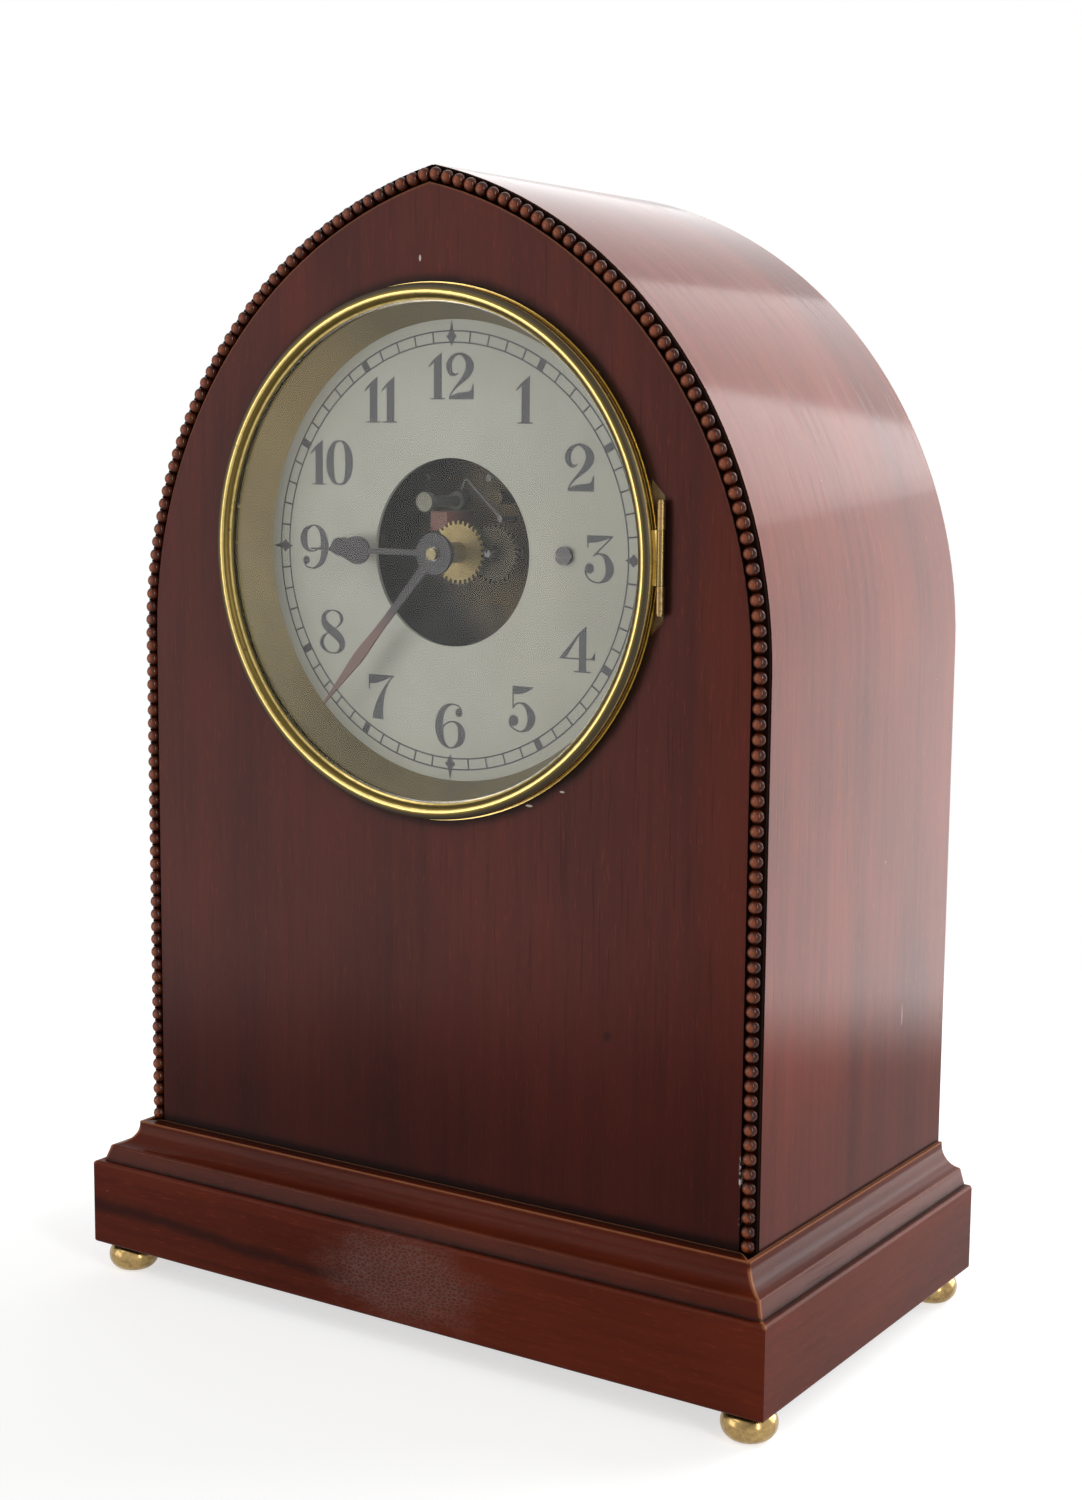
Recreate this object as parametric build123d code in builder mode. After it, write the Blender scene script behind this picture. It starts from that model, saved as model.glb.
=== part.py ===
from build123d import *
import math
import os

# Lancet shelf clock with an electric pendulum movement, in millimetres.
# X runs to the viewer's right, Y runs from the front to the back, Z is up.
# The origin is on the surface the feet stand on, below the middle of the whole clock.

# Plinth, feet and cove moulding
plinth_height = 27.8
plinth_board = 14.0
plinth_arris = 1.0
base_board_thickness = 12.0
foot_height = 9.2
foot_radius = 8.2
foot_pad_radius = 4.6
foot_neck_radius = 5.0
foot_inset = 9.0
moulding_height = 12.6
nosing_set_in = 2.6
nosing_height = 5.1
nosing_lean = 1.4
nosing_round = 0.7
moulding_run = 8.2
cove_sagitta = 1.7
fillet_height = 0.9
fillet_step = 1.2
front_ledge = 5.0

# Case
panel_margin = 37.9
case_side_height = 174.0
arch_rise_share = 1.2533
side_thickness = 10.0
panel_thickness = 11.2
bead_seat_width = 5.0
bead_seat_depth = 2.6
bead_radius = 2.0
bead_pitch = 4.2
bead_clearance = 0.2
bead_web = 1.3
bead_lift = 0.1
door_seat_width = 7.0
door_thickness = 8.0
door_clearance = 0.8
stop_rail_thickness = 10.0
stop_rail_height = 17.5

# Dial, sight ring and panel opening
opening_radius = 74.6
dial_rise = 29.2
dial_lap = 7.4
dial_thickness = 1.2
dial_hole_radius = 28.0
sight_ring_clearance = 0.2
sight_ring_seat = 1.2
sight_ring_taper = 5.0
sight_ring_wall = 1.2
sight_ring_lip = 1.4
sight_ring_set_back = 0.3
rim_screw_set_out = 4.0
rim_screw_radius = 0.9
rim_screw_head_radius = 1.9
rim_screw_head = 1.1
rim_screw_length = 6.0
rim_screw_count = 4
rim_screw_start = 45.0
dial_screw_offset = 40.3
dial_screw_rise = 0.6
dial_screw_radius = 1.0
dial_screw_head_radius = 2.7
dial_screw_head = 1.2
dial_screw_length = 6.0
dial_screw_slot = 0.7
dial_screw_slot_depth = 0.5
dial_pillar_radius = 3.0

# Bezel, glass and bezel hinge
bezel_lap = 3.9
bezel_gap = 0.2
bezel_rim_height = 1.4
bezel_rim_width = 0.7
bezel_groove_height = 1.1
bezel_groove_width = 0.9
bezel_height = 5.0
bezel_crest_set_in = 3.0
bezel_fall_set_in = 4.4
bezel_fall_height = 3.7
bezel_sight_set_in = 5.2
bezel_lip = 0.7
glass_set_in = 3.5
glass_thickness = 1.4
glass_clearance = 0.2
retainer_width = 2.0
retainer_thickness = 0.8
hinge_set_out = 1.3
hinge_rise = 2.0
hinge_stand_off = 1.9
hinge_knuckle_radius = 1.15
hinge_pin_radius = 0.55
hinge_pin_head_radius = 0.9
hinge_pin_head = 0.5
hinge_outer_knuckle = 7.7
hinge_middle_knuckle = 15.2
hinge_play = 0.1
hinge_web = 1.2
hinge_leaf_thickness = 1.2
hinge_leaf_length = 42.8
hinge_leaf_tip_length = 34.0
hinge_leaf_width = 4.2
hinge_leaf_clearance = 0.1

# Hands
hour_hand_angle = 180.2
minute_hand_angle = 228.4
hand_thickness = 0.7
hour_hand_share = 0.711
hour_boss_radius = 5.0
hour_shaft_width = 1.8
hour_lobe_radius = 4.2
hour_lobe_share = 0.445
hour_upper_reach_shares = (0.18, 0.28, 0.37, 0.45, 0.52, 0.56, 0.60)
hour_upper_width_shares = (0.88, 0.80, 0.86, 0.82, 0.64, 0.34, 0.10)
hour_lower_reach_shares = (0.21, 0.30, 0.38, 0.46, 0.53, 0.60)
hour_lower_width_shares = (0.76, 0.57, 0.47, 0.40, 0.25, 0.10)
hour_tip_width = 0.5
minute_hand_share = 0.930
minute_hub_radius = 6.2
minute_hub_thickness = 1.3
minute_leaf_width = 3.5
minute_reach_shares = (0.06, 0.30, 0.46, 0.56, 0.67, 0.78, 0.88, 1.0)
minute_width_shares = (0.78, 0.70, 0.68, 0.81, 1.0, 0.73, 0.44, 0.14)
minute_hand_depth = 8.9
hour_hand_depth = 5.9
hand_nut_radius = 1.8
hand_nut_length = 1.3
arbor_tip = 0.8

# Motion work and going train
running_clearance = 0.05
pipe_clearance = 0.1
motion_module = 0.565
cannon_teeth = 10
minute_wheel_teeth = 30
minute_pinion_teeth = 8
hour_wheel_teeth = 32
train_pinion_teeth = 8
train_wheel_teeth = 64
centre_module = 0.5
third_module = 0.4
tooth_reach_shares = (-1.25, 0.0, 0.9, 0.9, 0.0, -1.25)
tooth_width_shares = (-0.26, -0.19, -0.09, 0.09, 0.19, 0.26)
ratchet_radius = 12.0
ratchet_tooth_depth = 0.8
ratchet_lean_share = 0.25
wheel_thickness = 1.2
pinion_margin = 0.9
hour_wheel_gap = 2.4
minute_wheel_gap = 1.0
centre_arbor_radius = 1.25
cannon_pipe_radius = 1.9
hour_pipe_radius = 3.1
arbor_radius = 1.0
arbor_collar_radius = 3.0
arbor_collar = 1.8
centre_wheel_level = 2.2
third_wheel_level = 6.7
count_wheel_level = 11.2
third_angle = 150.0
count_angle = 120.0
crossing_count = 4
centre_crossing_radius = 4.6
centre_crossing_offset = 9.6
third_crossing_radius = 3.4
third_crossing_offset = 7.4
stud_collar_radius = 1.7
pinion_front_margin = 0.6

# Movement frame
plate_set_back = 19.5
plate_thickness = 1.8
plate_spacing = 16.0
plate_width = 92.0
plate_drop = 40.0
plate_rise = 50.0
plate_corner = 12.0
pillar_radius = 3.2
pillar_inset = 8.0
frame_screw_radius = 1.0
frame_screw_head_radius = 2.6
frame_screw_head = 1.6
frame_screw_length = 6.0
stand_screw_drop = 31.0
stand_screw_spread = 5.0
stand_width = 18.0
stand_thickness = 8.0
stand_top_drop = 22.0
stand_foot_width = 52.0
stand_foot_depth = 24.0
stand_foot_thickness = 4.0
stand_fillet = 3.0
wood_screw_radius = 1.6
wood_screw_head_radius = 3.4
wood_screw_head = 1.8
wood_screw_length = 8.0
wood_screw_inset = 6.0
post_offset = 10.3
post_rise = 14.8
post_radius = 1.65
post_flange_radius = 2.9
post_flange = 2.6
post_length = 19.0
block_left = 11.5
block_width = 6.0
block_height = 5.6
block_length = 13.9
spring_stud_offset = 9.7
spring_stud_rise = 9.9
spring_stud_radius = 0.9
spring_stud_length = 8.0
stop_stud_offset = 8.3
stop_stud_rise = 16.2
stop_stud_radius = 1.9
stop_stud_length = 7.5
spring_wire_radius = 0.3
long_spring_level = 7.2
long_spring_run = 13.0
long_spring_rise = 12.0
long_spring_hook = 3.6
short_spring_level = 5.6
short_spring_run = 9.0
short_spring_rise = 7.2

# Contact lever
lever_rise = 21.8
lever_hub_radius = 2.4
lever_arm_thickness = 1.4
pawl_reach = 10.3
pawl_width = 1.6
fork_gap = 2.2
fork_drop = 17.0
fork_width = 6.0
fork_slot = 2.4
fork_slot_length = 8.0
tail_rise = 8.5
tail_radius = 4.5

# Pendulum, magnet and suspension
pendulum_rise = 45.0
coil_floor_gap = 53.2
pendulum_gap = 13.9
rod_radius = 2.0
drive_pin_radius = 0.8
drive_pin_drop = 37.2
drive_pin_length = 12.2
spring_thickness = 0.25
spring_width = 8.0
spring_length = 15.5
spring_grip = 4.0
clip_clearance = 0.05
top_block_width = 5.0
top_block_height = 5.0
cock_width = 16.0
cock_height = 8.0
cock_plate = 2.5
cock_slot = 1.6
cock_margin = 3.0
cock_screw_spread = 5.0
bobbin_length = 34.0
bobbin_bore = 8.0
bobbin_wall = 1.5
bobbin_flange_radius = 18.0
bobbin_flange = 2.0
winding_radius = 16.0
winding_clearance = 0.1
hanger_width = 8.0
hanger_strap = 2.0
hanger_rise = 22.0
hanger_leg_end = 10.0
rod_end_gap = 1.2
nut_radius = 6.0
nut_height = 3.4
nut_gap = 0.3
nut_knurls = 24
nut_knurl_radius = 0.45
magnet_radius = 4.5
magnet_end_gap = 20.1
magnet_clearance = 0.15
bracket_inset = 3.5
bracket_thickness = 3.0
bracket_width = 15.0
bracket_rise = 8.0
bracket_foot = 14.0
bracket_foot_thickness = 3.0

# Dry cell and its clip
cell_radius = 17.5
cell_height = 82.0
cell_side_gap = 36.5
cell_set_back = 23.7
cell_door_gap = 1.5
cell_cap_radius = 5.0
cell_cap_height = 4.0
cell_nut_radius = 3.6
cell_nut_height = 4.0
cell_rim = 1.5
clip_thickness = 1.0
clip_height = 22.0
clip_rise = 12.0
clip_open_angle = 100.0
clip_gap = 0.3
clip_foot_width = 16.0
clip_foot_depth = 12.0

# Back door hinges and latch
rear_projection = 8.0
door_hinge_length = 24.0
door_hinge_shares = (0.345, 0.862)
door_leaf_thickness = 1.0
door_leaf_width = 9.0
door_leaf_gap = 0.4
door_knuckle_radius = 1.8
door_knuckle_gap = 0.1
door_knuckle_play = 0.15
door_pin_radius = 0.8
door_leaf_margin = 0.5
latch_height_share = 0.65
latch_inset = 20.5
latch_spindle_radius = 2.0
latch_spindle_clearance = 0.1
latch_knob_radius = 7.0
latch_knob_neck = 3.4
latch_collar = 1.6
latch_gap = 0.3
tongue_length = 14.0
tongue_width = 7.0
tongue_thickness = 2.0
tongue_set_in = 5.0
tongue_clearance = 0.4

# One overrun for every cut that has to pass through a face
overrun = 2.0

# Places that follow from the sizes above: the dial sets the width, the movement and the cell set the depth
case_half = opening_radius + panel_margin
inner_half = case_half - side_thickness
plinth_half = case_half + fillet_step + moulding_run + nosing_set_in
nosing_half = plinth_half - nosing_set_in
case_front_set_in = nosing_set_in + moulding_run + front_ledge
pendulum_set_back = panel_thickness + plate_set_back + 2 * plate_thickness + plate_spacing + pendulum_gap
clip_inner = cell_radius + clip_gap
clip_outer = clip_inner + clip_thickness
cell_space = cell_set_back + clip_outer + cell_door_gap
plinth_depth = case_front_set_in + pendulum_set_back + cell_space + stop_rail_thickness + door_thickness
plinth_front_y = -(plinth_depth + rear_projection) / 2
plinth_back_y = plinth_front_y + plinth_depth
plinth_top = foot_height + plinth_height
moulding_top = plinth_top + moulding_height
nosing_front_y = plinth_front_y + nosing_set_in
case_front_y = plinth_front_y + case_front_set_in
panel_back_y = case_front_y + panel_thickness
spring_z = plinth_top + case_side_height
arch_rise = case_half * arch_rise_share
arch_radius = (case_half**2 + arch_rise**2) / (2 * case_half)
arch_centre_x = case_half - arch_radius
door_front_y = plinth_back_y - door_thickness
dial_z = spring_z + dial_rise
dial_back_y = panel_back_y + dial_thickness
sight_ring_front_radius = opening_radius - sight_ring_seat
sight_ring_back_radius = sight_ring_front_radius - sight_ring_taper
plate_front_y = panel_back_y + plate_set_back
plate_inner_y = plate_front_y + plate_thickness
back_plate_y = plate_inner_y + plate_spacing
back_plate_end_y = back_plate_y + plate_thickness
pendulum_y = back_plate_end_y + pendulum_gap
pivot_z = dial_z + pendulum_rise
coil_z = plinth_top + coil_floor_gap
pendulum_length = pivot_z - coil_z

os.makedirs("parts", exist_ok=True)


def finish(piece, name):
    """Label a finished piece and write it."""
    piece.part.label = name
    export_step(piece.part, f"parts/{name}.step")


def facing(depth):
    """Upright plane at a depth, facing the viewer: local x is X and local y is Z."""
    return Plane.XZ.offset(-depth)


def bar(x, z, radius, front, back, mode=Mode.ADD):
    """Round bar along the depth, in the piece being made."""
    with BuildSketch(facing(front)) as face:
        with Locations((x, z)):
            Circle(radius)
    extrude(face.sketch, amount=front - back, mode=mode)


def post(x, y, radius, low, high, mode=Mode.ADD):
    """Upright round bar, in the piece being made."""
    with BuildSketch(Plane.XY.offset(low)) as face:
        with Locations((x, y)):
            Circle(radius)
    extrude(face.sketch, amount=high - low, mode=mode)


def bore(x, z, radius, front, back):
    """Round hole along the depth, right through the piece being made."""
    bar(x, z, radius, front - overrun, back + overrun, mode=Mode.SUBTRACT)


def drill(x, y, radius, low, high):
    """Upright round hole, right through the piece being made."""
    post(x, y, radius, low - overrun, high + overrun, mode=Mode.SUBTRACT)


def block(low, high, mode=Mode.ADD):
    """Square block between its lowest and highest corners, in the piece being made."""
    size = [end - start for start, end in zip(low, high)]
    with Locations(low):
        Box(*size, align=(Align.MIN, Align.MIN, Align.MIN), mode=mode)


def turned(points, x=0, z=0):
    """Ring or boss turned about the depth axis through x and z from a (radius, depth) outline."""
    with BuildSketch(Plane.XY.offset(z)) as face:
        with BuildLine():
            Polyline(*[(x + radius, depth) for radius, depth in points], close=True)
        make_face()
    revolve(face.sketch, axis=Axis((x, 0, z), (0, 1, 0)))


def toothed(teeth, module, x, z, phase, front, back):
    """Toothed disc about the depth axis, with a tooth at the angle phase."""
    outline = []
    for tooth in range(teeth):
        for reach, width in zip(tooth_reach_shares, tooth_width_shares):
            radius = module * (teeth / 2 + reach)
            angle = math.radians(phase + 360 * (tooth + width) / teeth)
            outline.append((x + radius * math.cos(angle), z + radius * math.sin(angle)))
    with BuildSketch(facing(front)) as face:
        with BuildLine():
            Polyline(*outline, close=True)
        make_face()
    extrude(face.sketch, amount=front - back)


def lancet(inset, foot, front, back, mode=Mode.ADD):
    """Slab of the pointed outline of the case, moved in by inset, with its foot at a height."""
    half = case_half - inset
    radius = arch_radius - inset
    apex = spring_z + math.sqrt(radius**2 - arch_centre_x**2)
    middle = math.acos(-arch_centre_x / radius) / 2
    shoulder_x = arch_centre_x + radius * math.cos(middle)
    shoulder_z = spring_z + radius * math.sin(middle)
    with BuildSketch(facing(front)) as face:
        with BuildLine():
            Polyline((-half, spring_z), (-half, foot), (half, foot), (half, spring_z))
            ThreePointArc((half, spring_z), (shoulder_x, shoulder_z), (0, apex))
            ThreePointArc((0, apex), (-shoulder_x, shoulder_z), (-half, spring_z))
        make_face()
    extrude(face.sketch, amount=front - back, mode=mode)


def polar(x, z, distance, angle):
    """Point at a distance and an angle from x and z, on an upright plane."""
    turn = math.radians(angle)
    return x + distance * math.cos(turn), z + distance * math.sin(turn)


def mitre(side):
    """Upright plane through the front corner of the plinth, halving the corner."""
    return Plane(origin=(side * plinth_half, plinth_front_y, 0), z_dir=(side, 1, 0))


# Plinth: four boards, mitred at the front corners, round a base board
board_inner = plinth_half - plinth_board
frame_front_y = plinth_front_y + plinth_board
frame_back_y = plinth_back_y - plinth_board

with BuildPart() as plinth_front:
    block((-plinth_half, plinth_front_y, foot_height), (plinth_half, frame_front_y, plinth_top))
    front_edges = plinth_front.edges().filter_by(Axis.X).group_by(Axis.Y)[0]
    fillet(front_edges, radius=plinth_arris)
    split(bisect_by=mitre(1), keep=Keep.BOTTOM)
    split(bisect_by=mitre(-1), keep=Keep.BOTTOM)
finish(plinth_front, "plinth_front")

for side, hand in ((-1, "left"), (1, "right")):
    with BuildPart() as plinth_side:
        inner_x, outer_x = sorted((side * board_inner, side * plinth_half))
        block((inner_x, plinth_front_y, foot_height), (outer_x, plinth_back_y, plinth_top))
        outer_edges = plinth_side.edges().filter_by(Axis.Y).group_by(Axis.X)[-1 if side > 0 else 0]
        fillet(outer_edges, radius=plinth_arris)
        split(bisect_by=mitre(side), keep=Keep.TOP)
    finish(plinth_side, f"plinth_{hand}")

with BuildPart() as plinth_back:
    block((-board_inner, frame_back_y, foot_height), (board_inner, plinth_back_y, plinth_top))
finish(plinth_back, "plinth_back")

# Four turned brass bun feet under the corners of the plinth
with BuildPart() as bun_feet:
    with BuildSketch(Plane.XZ):
        with BuildLine():
            pad = (foot_pad_radius, 0)
            neck = (foot_neck_radius, foot_height)
            Polyline(neck, (0, foot_height), (0, 0), pad)
            ThreePointArc(pad, (foot_radius, foot_height / 2), neck)
        make_face()
    bun = revolve(axis=Axis.Z, mode=Mode.PRIVATE)
    foot_x = plinth_half - foot_inset
    with Locations(
        (-foot_x, plinth_front_y + foot_inset),
        (foot_x, plinth_front_y + foot_inset),
        (-foot_x, plinth_back_y - foot_inset),
        (foot_x, plinth_back_y - foot_inset),
    ):
        add(bun)
finish(bun_feet, "bun_feet")


# Cove moulding on the front and the two sides, mitred at the corners
def moulding_section(plane, wall, nose, cove):
    """Face of the moulding's section: wall, nose and cove are places along the plane's level axis."""
    inward = math.copysign(1, wall - nose)
    shoulder = plinth_top + nosing_height
    fillet_foot = moulding_top - fillet_height
    nose_top = nose + inward * nosing_lean
    round_start = (nose_top + inward * nosing_round, shoulder)
    round_end = (nose_top, shoulder - nosing_round)
    with BuildSketch(plane) as face:
        with BuildLine():
            Polyline(
                round_end,
                (nose, plinth_top),
                (wall, plinth_top),
                (wall, moulding_top),
                (cove, moulding_top),
                (cove, fillet_foot),
            )
            SagittaArc((cove, fillet_foot), round_start, inward * cove_sagitta)
            RadiusArc(round_start, round_end, -inward * nosing_round)
        make_face()
    return face.sketch


with BuildPart() as moulding_front:
    cove_y = nosing_front_y + moulding_run
    front_section = moulding_section(Plane.YZ.offset(-nosing_half), case_front_y, nosing_front_y, cove_y)
    extrude(front_section, amount=2 * nosing_half)
    split(bisect_by=mitre(1), keep=Keep.BOTTOM)
    split(bisect_by=mitre(-1), keep=Keep.BOTTOM)
finish(moulding_front, "moulding_front")

for side, hand in ((-1, "left"), (1, "right")):
    with BuildPart() as moulding_side:
        side_places = (side * case_half, side * nosing_half, side * (case_half + fillet_step))
        side_section = moulding_section(facing(plinth_back_y), *side_places)
        extrude(side_section, amount=plinth_back_y - nosing_front_y)
        split(bisect_by=mitre(side), keep=Keep.TOP)
    finish(moulding_side, f"moulding_{hand}")

# Case sides: each is half of the arch, rebated in front for the beads and the panel, behind for the door
hinge_half = case_half - door_seat_width - door_clearance / 2
latch_x = case_half - latch_inset
latch_z = plinth_top + case_side_height * latch_height_share
tongue_back_y = door_front_y - tongue_set_in
tongue_front_y = tongue_back_y - tongue_thickness

for side, hand in ((-1, "left"), (1, "right")):
    with BuildPart() as case_side:
        cut_foot = plinth_top - overrun
        cut_back_y = plinth_back_y + overrun
        lancet(0, plinth_top, case_front_y + bead_seat_depth, plinth_back_y)
        lancet(bead_seat_width, cut_foot, case_front_y, panel_back_y, mode=Mode.SUBTRACT)
        lancet(side_thickness, cut_foot, panel_back_y, door_front_y, mode=Mode.SUBTRACT)
        lancet(door_seat_width, cut_foot, door_front_y, cut_back_y, mode=Mode.SUBTRACT)
        if side > 0:
            block(
                (
                    inner_half - overrun,
                    tongue_front_y - tongue_clearance,
                    latch_z - tongue_width / 2 - tongue_clearance,
                ),
                (
                    latch_x + math.hypot(tongue_length, tongue_width / 2) + tongue_clearance,
                    tongue_back_y + tongue_clearance,
                    latch_z + tongue_length,
                ),
                mode=Mode.SUBTRACT,
            )
        split(bisect_by=Plane.YZ, keep=Keep.TOP if side > 0 else Keep.BOTTOM)
    finish(case_side, f"case_side_{hand}")

# Front panel, with the round opening, the bed of the bezel hinge and holes for the dial's rim screws
bezel_radius = opening_radius + bezel_lap
hinge_offset = bezel_radius + hinge_set_out
hinge_z = dial_z + hinge_rise
leaf_inner_x = hinge_offset - hinge_leaf_width


def leaf_outline(margin, front, back, mode=Mode.ADD):
    """Plate of the bezel hinge on the case: a strip with tapered ends, grown by a margin."""
    long_half = hinge_leaf_length / 2 + margin
    short_half = hinge_leaf_tip_length / 2 + margin
    with BuildSketch(facing(front)) as face:
        with BuildLine():
            Polyline(
                (leaf_inner_x - margin, hinge_z - long_half),
                (hinge_offset + margin, hinge_z - short_half),
                (hinge_offset + margin, hinge_z + short_half),
                (leaf_inner_x - margin, hinge_z + long_half),
                close=True,
            )
        make_face()
    extrude(face.sketch, amount=front - back, mode=mode)


rim_screw_places = [
    polar(0, dial_z, opening_radius + rim_screw_set_out, rim_screw_start + 360 * index / rim_screw_count)
    for index in range(rim_screw_count)
]
rim_screw_tip_y = dial_back_y - rim_screw_length
rim_screw_hole = rim_screw_radius + running_clearance

with BuildPart() as front_panel:
    lancet(bead_seat_width, plinth_top, case_front_y, panel_back_y)
    bore(0, dial_z, opening_radius, case_front_y, panel_back_y)
    leaf_bed_y = case_front_y + hinge_leaf_thickness
    leaf_outline(hinge_leaf_clearance, case_front_y - overrun, leaf_bed_y, mode=Mode.SUBTRACT)
    for place in rim_screw_places:
        pilot_end_y = panel_back_y + overrun
        bar(*place, rim_screw_hole, rim_screw_tip_y - running_clearance, pilot_end_y, mode=Mode.SUBTRACT)
finish(front_panel, "front_panel")

# Bead strings: turned beads on a thin web, in the rebate round the front, meeting at the point
bead_path_inset = bead_seat_width / 2
bead_arc_radius = arch_radius - bead_path_inset
bead_arc_angle = math.acos(-arch_centre_x / bead_arc_radius)
bead_arc_length = bead_arc_radius * bead_arc_angle
bead_path_length = bead_arc_length + spring_z - moulding_top
bead_count = round(bead_path_length / bead_pitch)
bead_step = bead_path_length / bead_count
bead_y = case_front_y + bead_seat_depth - bead_radius - bead_lift


def bead_place(distance):
    """Place of a bead, by its distance down the string from the point of the arch."""
    if distance > bead_arc_length:
        return case_half - bead_path_inset, spring_z - (distance - bead_arc_length)
    angle = bead_arc_angle - distance / bead_arc_radius
    return arch_centre_x + bead_arc_radius * math.cos(angle), spring_z + bead_arc_radius * math.sin(angle)


for side, hand in ((-1, "left"), (1, "right")):
    with BuildPart() as bead_string:
        web_back_y = case_front_y + bead_seat_depth
        web_front_y = web_back_y - bead_web
        lancet(bead_clearance, plinth_top, web_front_y, web_back_y)
        web_inner = bead_seat_width - bead_clearance
        cut_front_y = web_front_y - overrun
        lancet(web_inner, plinth_top - overrun, cut_front_y, web_back_y + overrun, mode=Mode.SUBTRACT)
        split(bisect_by=Plane.YZ, keep=Keep.TOP if side > 0 else Keep.BOTTOM)
        places = [bead_place((index + 1 / 2) * bead_step) for index in range(bead_count)]
        with Locations(*[(side * x, bead_y, z) for x, z in places]):
            Sphere(bead_radius)
    finish(bead_string, f"bead_string_{hand}")

# Rail inside the back of the case that the foot of the door closes against
with BuildPart() as stop_rail:
    block(
        (-inner_half, door_front_y - stop_rail_thickness, plinth_top),
        (inner_half, door_front_y, plinth_top + stop_rail_height),
    )
finish(stop_rail, "stop_rail")

# Sight ring: a spun brass cone between the glass and the dial
with BuildPart() as sight_ring:
    ring_front_y = case_front_y + sight_ring_set_back
    ring_outer = opening_radius - sight_ring_clearance
    turned(
        (
            (sight_ring_front_radius, ring_front_y),
            (ring_outer, ring_front_y),
            (ring_outer, ring_front_y + sight_ring_lip),
            (sight_ring_front_radius + sight_ring_wall, ring_front_y + sight_ring_lip),
            (sight_ring_back_radius + sight_ring_wall, panel_back_y),
            (sight_ring_back_radius, panel_back_y),
        ),
        z=dial_z,
    )
finish(sight_ring, "sight_ring")

# Dial: a flat silvered ring, seated on the back of the panel, with its screws
dial_screw_z = dial_z + dial_screw_rise
dial_screw_hole = dial_screw_radius + running_clearance

with BuildPart() as dial:
    bar(0, dial_z, opening_radius + dial_lap, panel_back_y, dial_back_y)
    bore(0, dial_z, dial_hole_radius, panel_back_y, dial_back_y)
    for place in rim_screw_places:
        bore(*place, rim_screw_hole, panel_back_y, dial_back_y)
    for side in (-1, 1):
        bore(side * dial_screw_offset, dial_screw_z, dial_screw_hole, panel_back_y, dial_back_y)
finish(dial, "dial")

with BuildPart() as rim_screws:
    for place in rim_screw_places:
        bar(*place, rim_screw_radius, rim_screw_tip_y, dial_back_y)
        bar(*place, rim_screw_head_radius, dial_back_y, dial_back_y + rim_screw_head)
finish(rim_screws, "rim_screws")

with BuildPart() as dial_screws:
    for side in (-1, 1):
        screw_x = side * dial_screw_offset
        head_front_y = panel_back_y - dial_screw_head
        bar(screw_x, dial_screw_z, dial_screw_radius, panel_back_y, panel_back_y + dial_screw_length)
        bar(screw_x, dial_screw_z, dial_screw_head_radius, head_front_y, panel_back_y)
        slot_low = dial_screw_z - dial_screw_slot / 2
        slot_high = dial_screw_z + dial_screw_slot / 2
        slot_y = head_front_y + dial_screw_slot_depth
        block(
            (screw_x - dial_screw_head_radius, head_front_y - overrun, slot_low),
            (screw_x + dial_screw_head_radius, slot_y, slot_high),
            mode=Mode.SUBTRACT,
        )
finish(dial_screws, "dial_screws")

# Bezel: a turned brass ring with a raised rib, carrying the middle knuckle of its hinge
hinge_y = case_front_y - hinge_stand_off
middle_low = hinge_z - hinge_middle_knuckle / 2
middle_high = hinge_z + hinge_middle_knuckle / 2
pin_hole = hinge_pin_radius + running_clearance
bezel_back_y = case_front_y - bezel_gap
glass_back_y = bezel_back_y - retainer_thickness
glass_front_y = glass_back_y - glass_thickness
glass_radius = bezel_radius - glass_set_in
glass_seat_radius = glass_radius + glass_clearance
rib_outer_radius = bezel_radius - bezel_rim_width - bezel_groove_width
bezel_sight_radius = bezel_radius - bezel_sight_set_in
bezel_fall = (bezel_radius - bezel_fall_set_in, case_front_y - bezel_fall_height)
bezel_crest = (bezel_radius - bezel_crest_set_in, case_front_y - bezel_height)
groove_y = case_front_y - bezel_groove_height

with BuildPart() as bezel_ring:
    with BuildSketch(Plane.XY.offset(dial_z)):
        with BuildLine():
            Polyline(
                (rib_outer_radius, groove_y),
                (bezel_radius - bezel_rim_width, groove_y),
                (bezel_radius - bezel_rim_width, case_front_y - bezel_rim_height),
                (bezel_radius, case_front_y - bezel_rim_height),
                (bezel_radius, bezel_back_y),
                (glass_seat_radius, bezel_back_y),
                (glass_seat_radius, glass_front_y),
                (bezel_sight_radius, glass_front_y),
                (bezel_sight_radius, glass_front_y - bezel_lip),
                bezel_fall,
            )
            ThreePointArc(bezel_fall, bezel_crest, (rib_outer_radius, groove_y))
        make_face()
    revolve(axis=Axis((0, 0, dial_z), (0, 1, 0)))
    block(
        (glass_seat_radius + bezel_rim_width, hinge_y - hinge_web / 2, middle_low),
        (hinge_offset, hinge_y + hinge_web / 2, middle_high),
    )
    post(hinge_offset, hinge_y, hinge_knuckle_radius, middle_low, middle_high)
    drill(hinge_offset, hinge_y, pin_hole, middle_low, middle_high)
finish(bezel_ring, "bezel_ring")

with BuildPart() as dial_glass:
    bar(0, dial_z, glass_radius, glass_front_y, glass_back_y)
finish(dial_glass, "dial_glass")

with BuildPart() as glass_retainer:
    bar(0, dial_z, glass_radius, glass_back_y, bezel_back_y)
    bore(0, dial_z, glass_radius - retainer_width, glass_back_y, bezel_back_y)
finish(glass_retainer, "glass_retainer")

# Bezel hinge leaf let into the panel, with the two outer knuckles, and its pin
lower_end = middle_low - hinge_play
lower_start = lower_end - hinge_outer_knuckle
upper_start = middle_high + hinge_play
upper_end = upper_start + hinge_outer_knuckle

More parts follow.
